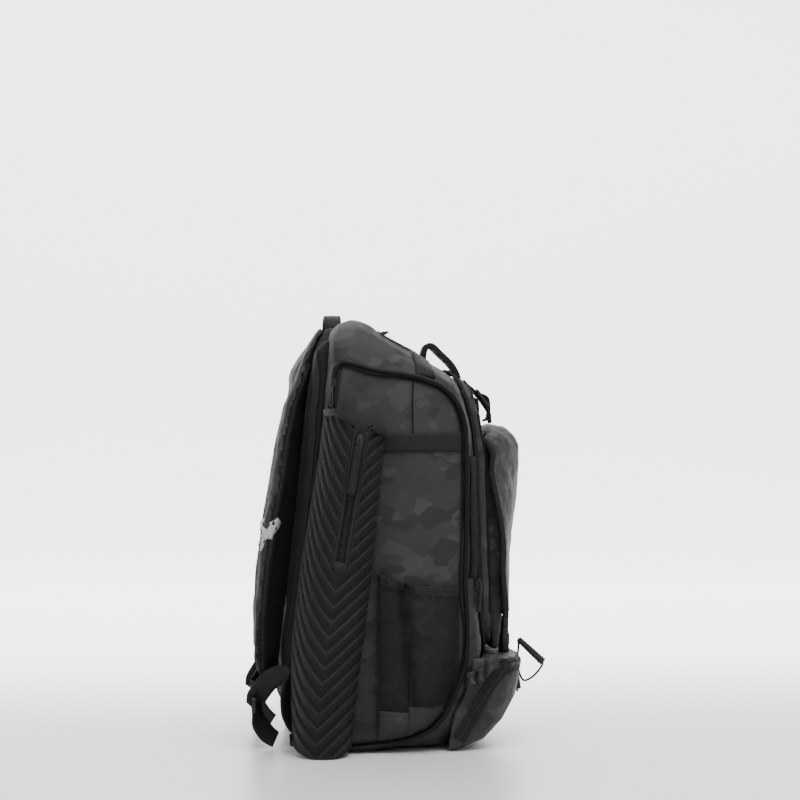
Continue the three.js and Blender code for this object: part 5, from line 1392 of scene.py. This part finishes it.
# Straps that hold the flap: webbing through a ladder lock above, and a side-release buckle below
# The buckle's two halves are moulded, and its release arms show at its sides.
front_top = front_foot + front_height - 0.004
front_face = lambda z: front_y(z) - 0.0113
buckle_foot = lower_height + 0.0003
for side, way in sides:
    x = way * 0.06
    route = [(x, front_face(front_top - 0.014) - 0.0014, front_top - 0.014),
             (x, front_face(front_top - 0.004) - 0.004, front_top - 0.004),
             (x, front_face(front_top) - 0.014, front_top - 0.008),
             (x, front_face(flap_top) - 0.016, flap_top + 0.016),
             (x, front_face(flap_top) - 0.018, flap_top + 0.004),
             (x, front_face(flap_top) - 0.019, flap_top + 0.0006)]
    tape = strip(f"flap_web_{side}", smooth_route(route, 0.004), 0.02, 0.003, across=(1, 0, 0),
                 toward=toward_front, cells=4,
                 offset=0)
    finish_piece(tape, "webbing", [webbing], f"flap_strap_{side}")
    loop = [(x, front_face(0.418) - 0.0135, 0.432), (x, front_face(0.418) - 0.021, 0.427),
            (x, front_face(0.418) - 0.0225, 0.414),
            (x, front_face(0.41) - 0.0185, 0.402), (x, front_face(0.41) - 0.0135, 0.4)]
    tape = strip(f"flap_web_loop_{side}", smooth_route(loop, 0.003), 0.019, 0.003, across=(1, 0, 0),
                 toward=toward_front,
                 cells=4, offset=0)
    finish_piece(tape, "webbing", [webbing])
    lock = bevelled(link_mesh(f"flap_ladder_{side}", merged_copy(f"flap_lock_{side}")), 0.0008)
    finish_piece(lock, "plastic", [acetal], f"flap_lock_{side}")
    low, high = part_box(f"flap_buckle_{side}")
    y = (low[1] + high[1]) / 2
    bm = bmesh.new()
    for size, at in (((0.03, 0.0085, 0.024), (x, y, buckle_foot + 0.0125)),
                     ((0.0235, 0.0075, 0.012), (x, y, buckle_foot + 0.029)),
                     ((0.03, 0.007, 0.0035), (x, y, buckle_foot + 0.0425)),
                     ((0.0035, 0.007, 0.012), (x - 0.0132, y, buckle_foot + 0.0375)),
                     ((0.0035, 0.007, 0.012), (x + 0.0132, y, buckle_foot + 0.0375)),
                     ((0.028, 0.0072, 0.003), (x, y, buckle_foot + 0.0335)),
                     ((0.0055, 0.0092, 0.014), (x - 0.0128, y, buckle_foot + 0.0165)),
                     ((0.0055, 0.0092, 0.014), (x + 0.0128, y, buckle_foot + 0.0165))):
        bmesh.ops.create_cube(bm, size=1.0, matrix=Matrix.Translation(at) @ Matrix.Diagonal((*size, 1)))
    bmesh.ops.bevel(bm, geom=bm.edges[:], offset=0.0011, segments=3, profile=0.5, affect="EDGES", material=-1)
    finish_piece(link_mesh(f"flap_side_release_{side}", bm), "plastic", [acetal], f"flap_buckle_{side}")
    low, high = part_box(f"buckle_strap_{side}")
    tape = strip(f"buckle_web_{side}", smooth_route([(x, high[1] - 0.001, low[2]),
                                                     (x, high[1] - 0.001, high[2])], 0.004), 0.0195,
                 0.0016, across=(1, 0, 0), toward=toward_front, cells=4, offset=0)
    finish_piece(tape, "webbing", [webbing], f"buckle_strap_{side}")

# Handles: a padded grab handle in front of the mouth, a haul loop behind it, and webbing tabs at its sides
# All are sewn webbing; the grab handle is folded double over a soft core.
top_rows = [(-0.474, 0.828), (-0.426, 0.862), (-0.335, 0.889), (-0.23, 0.92), (-0.1, 0.956), (0.017, 0.989),
            (0.109, 1),
            (0.183, 0.99)]


def top_z(y):
    return between(top_rows, y / body_depth, 1) * body_height


handle_start, handle_length, handle_rise = -0.069, 0.046, 0.032
route = []
for along, rise in ((0, 0.02), (0.06, 0.7), (0.24, 1), (0.5, 0.92), (0.78, 0.62), (0.95, 0.2), (1, -0.1)):
    y = handle_start - along * handle_length
    route.append((0, y, top_z(max(y, -0.42 * body_depth)) + rise * handle_rise))
handle = strip("grab_handle_pad", smooth_route(route, 0.003),
               lambda share: 0.024 + 0.006 * math.sin(math.pi * share), 0.0072,
               across=(1, 0, 0), toward=(0, 0.3, -1), cells=6, offset=0)
finish_piece(bevelled(handle, 0.0022), "webbing", [webbing], "grab_handle")
haul_y = 0.183 * body_depth
haul = smooth_route([(share * 0.046, haul_y + 0.004,
                      top_z(haul_y) - 0.004 + 0.0175 * (1 - abs(share) ** 3) ** 0.6)
                     for share in (-1, -0.9, -0.7, -0.4, 0, 0.4, 0.7, 0.9, 1)], 0.003)
loop = strip("haul_loop_web", haul, 0.02, 0.0028, across=(0, 1, 0), toward=(0, 0, -1), cells=4, offset=0)
finish_piece(loop, "webbing", [webbing], "haul_loop")
for side, way in sides:
    line = smooth_route([(way * 0.1025, -0.057, 0.6), (way * 0.125, -0.058, 0.6), (way * 0.1465, -0.06, 0.6)],
                        0.004)
    line = dropped(line, shell_ground, down)
    tab = strip(f"mouth_side_tab_{side}", line, 0.0235, 0.0019, shell_ground, down, lift=0.0004, cells=4)
    finish_piece(tab, "webbing", [webbing], f"mouth_tab_{side}")

# Thread: the lock stitches of every seam above, in one piece
finish_piece(link_mesh("stitches", threads), "cloth", [thread])
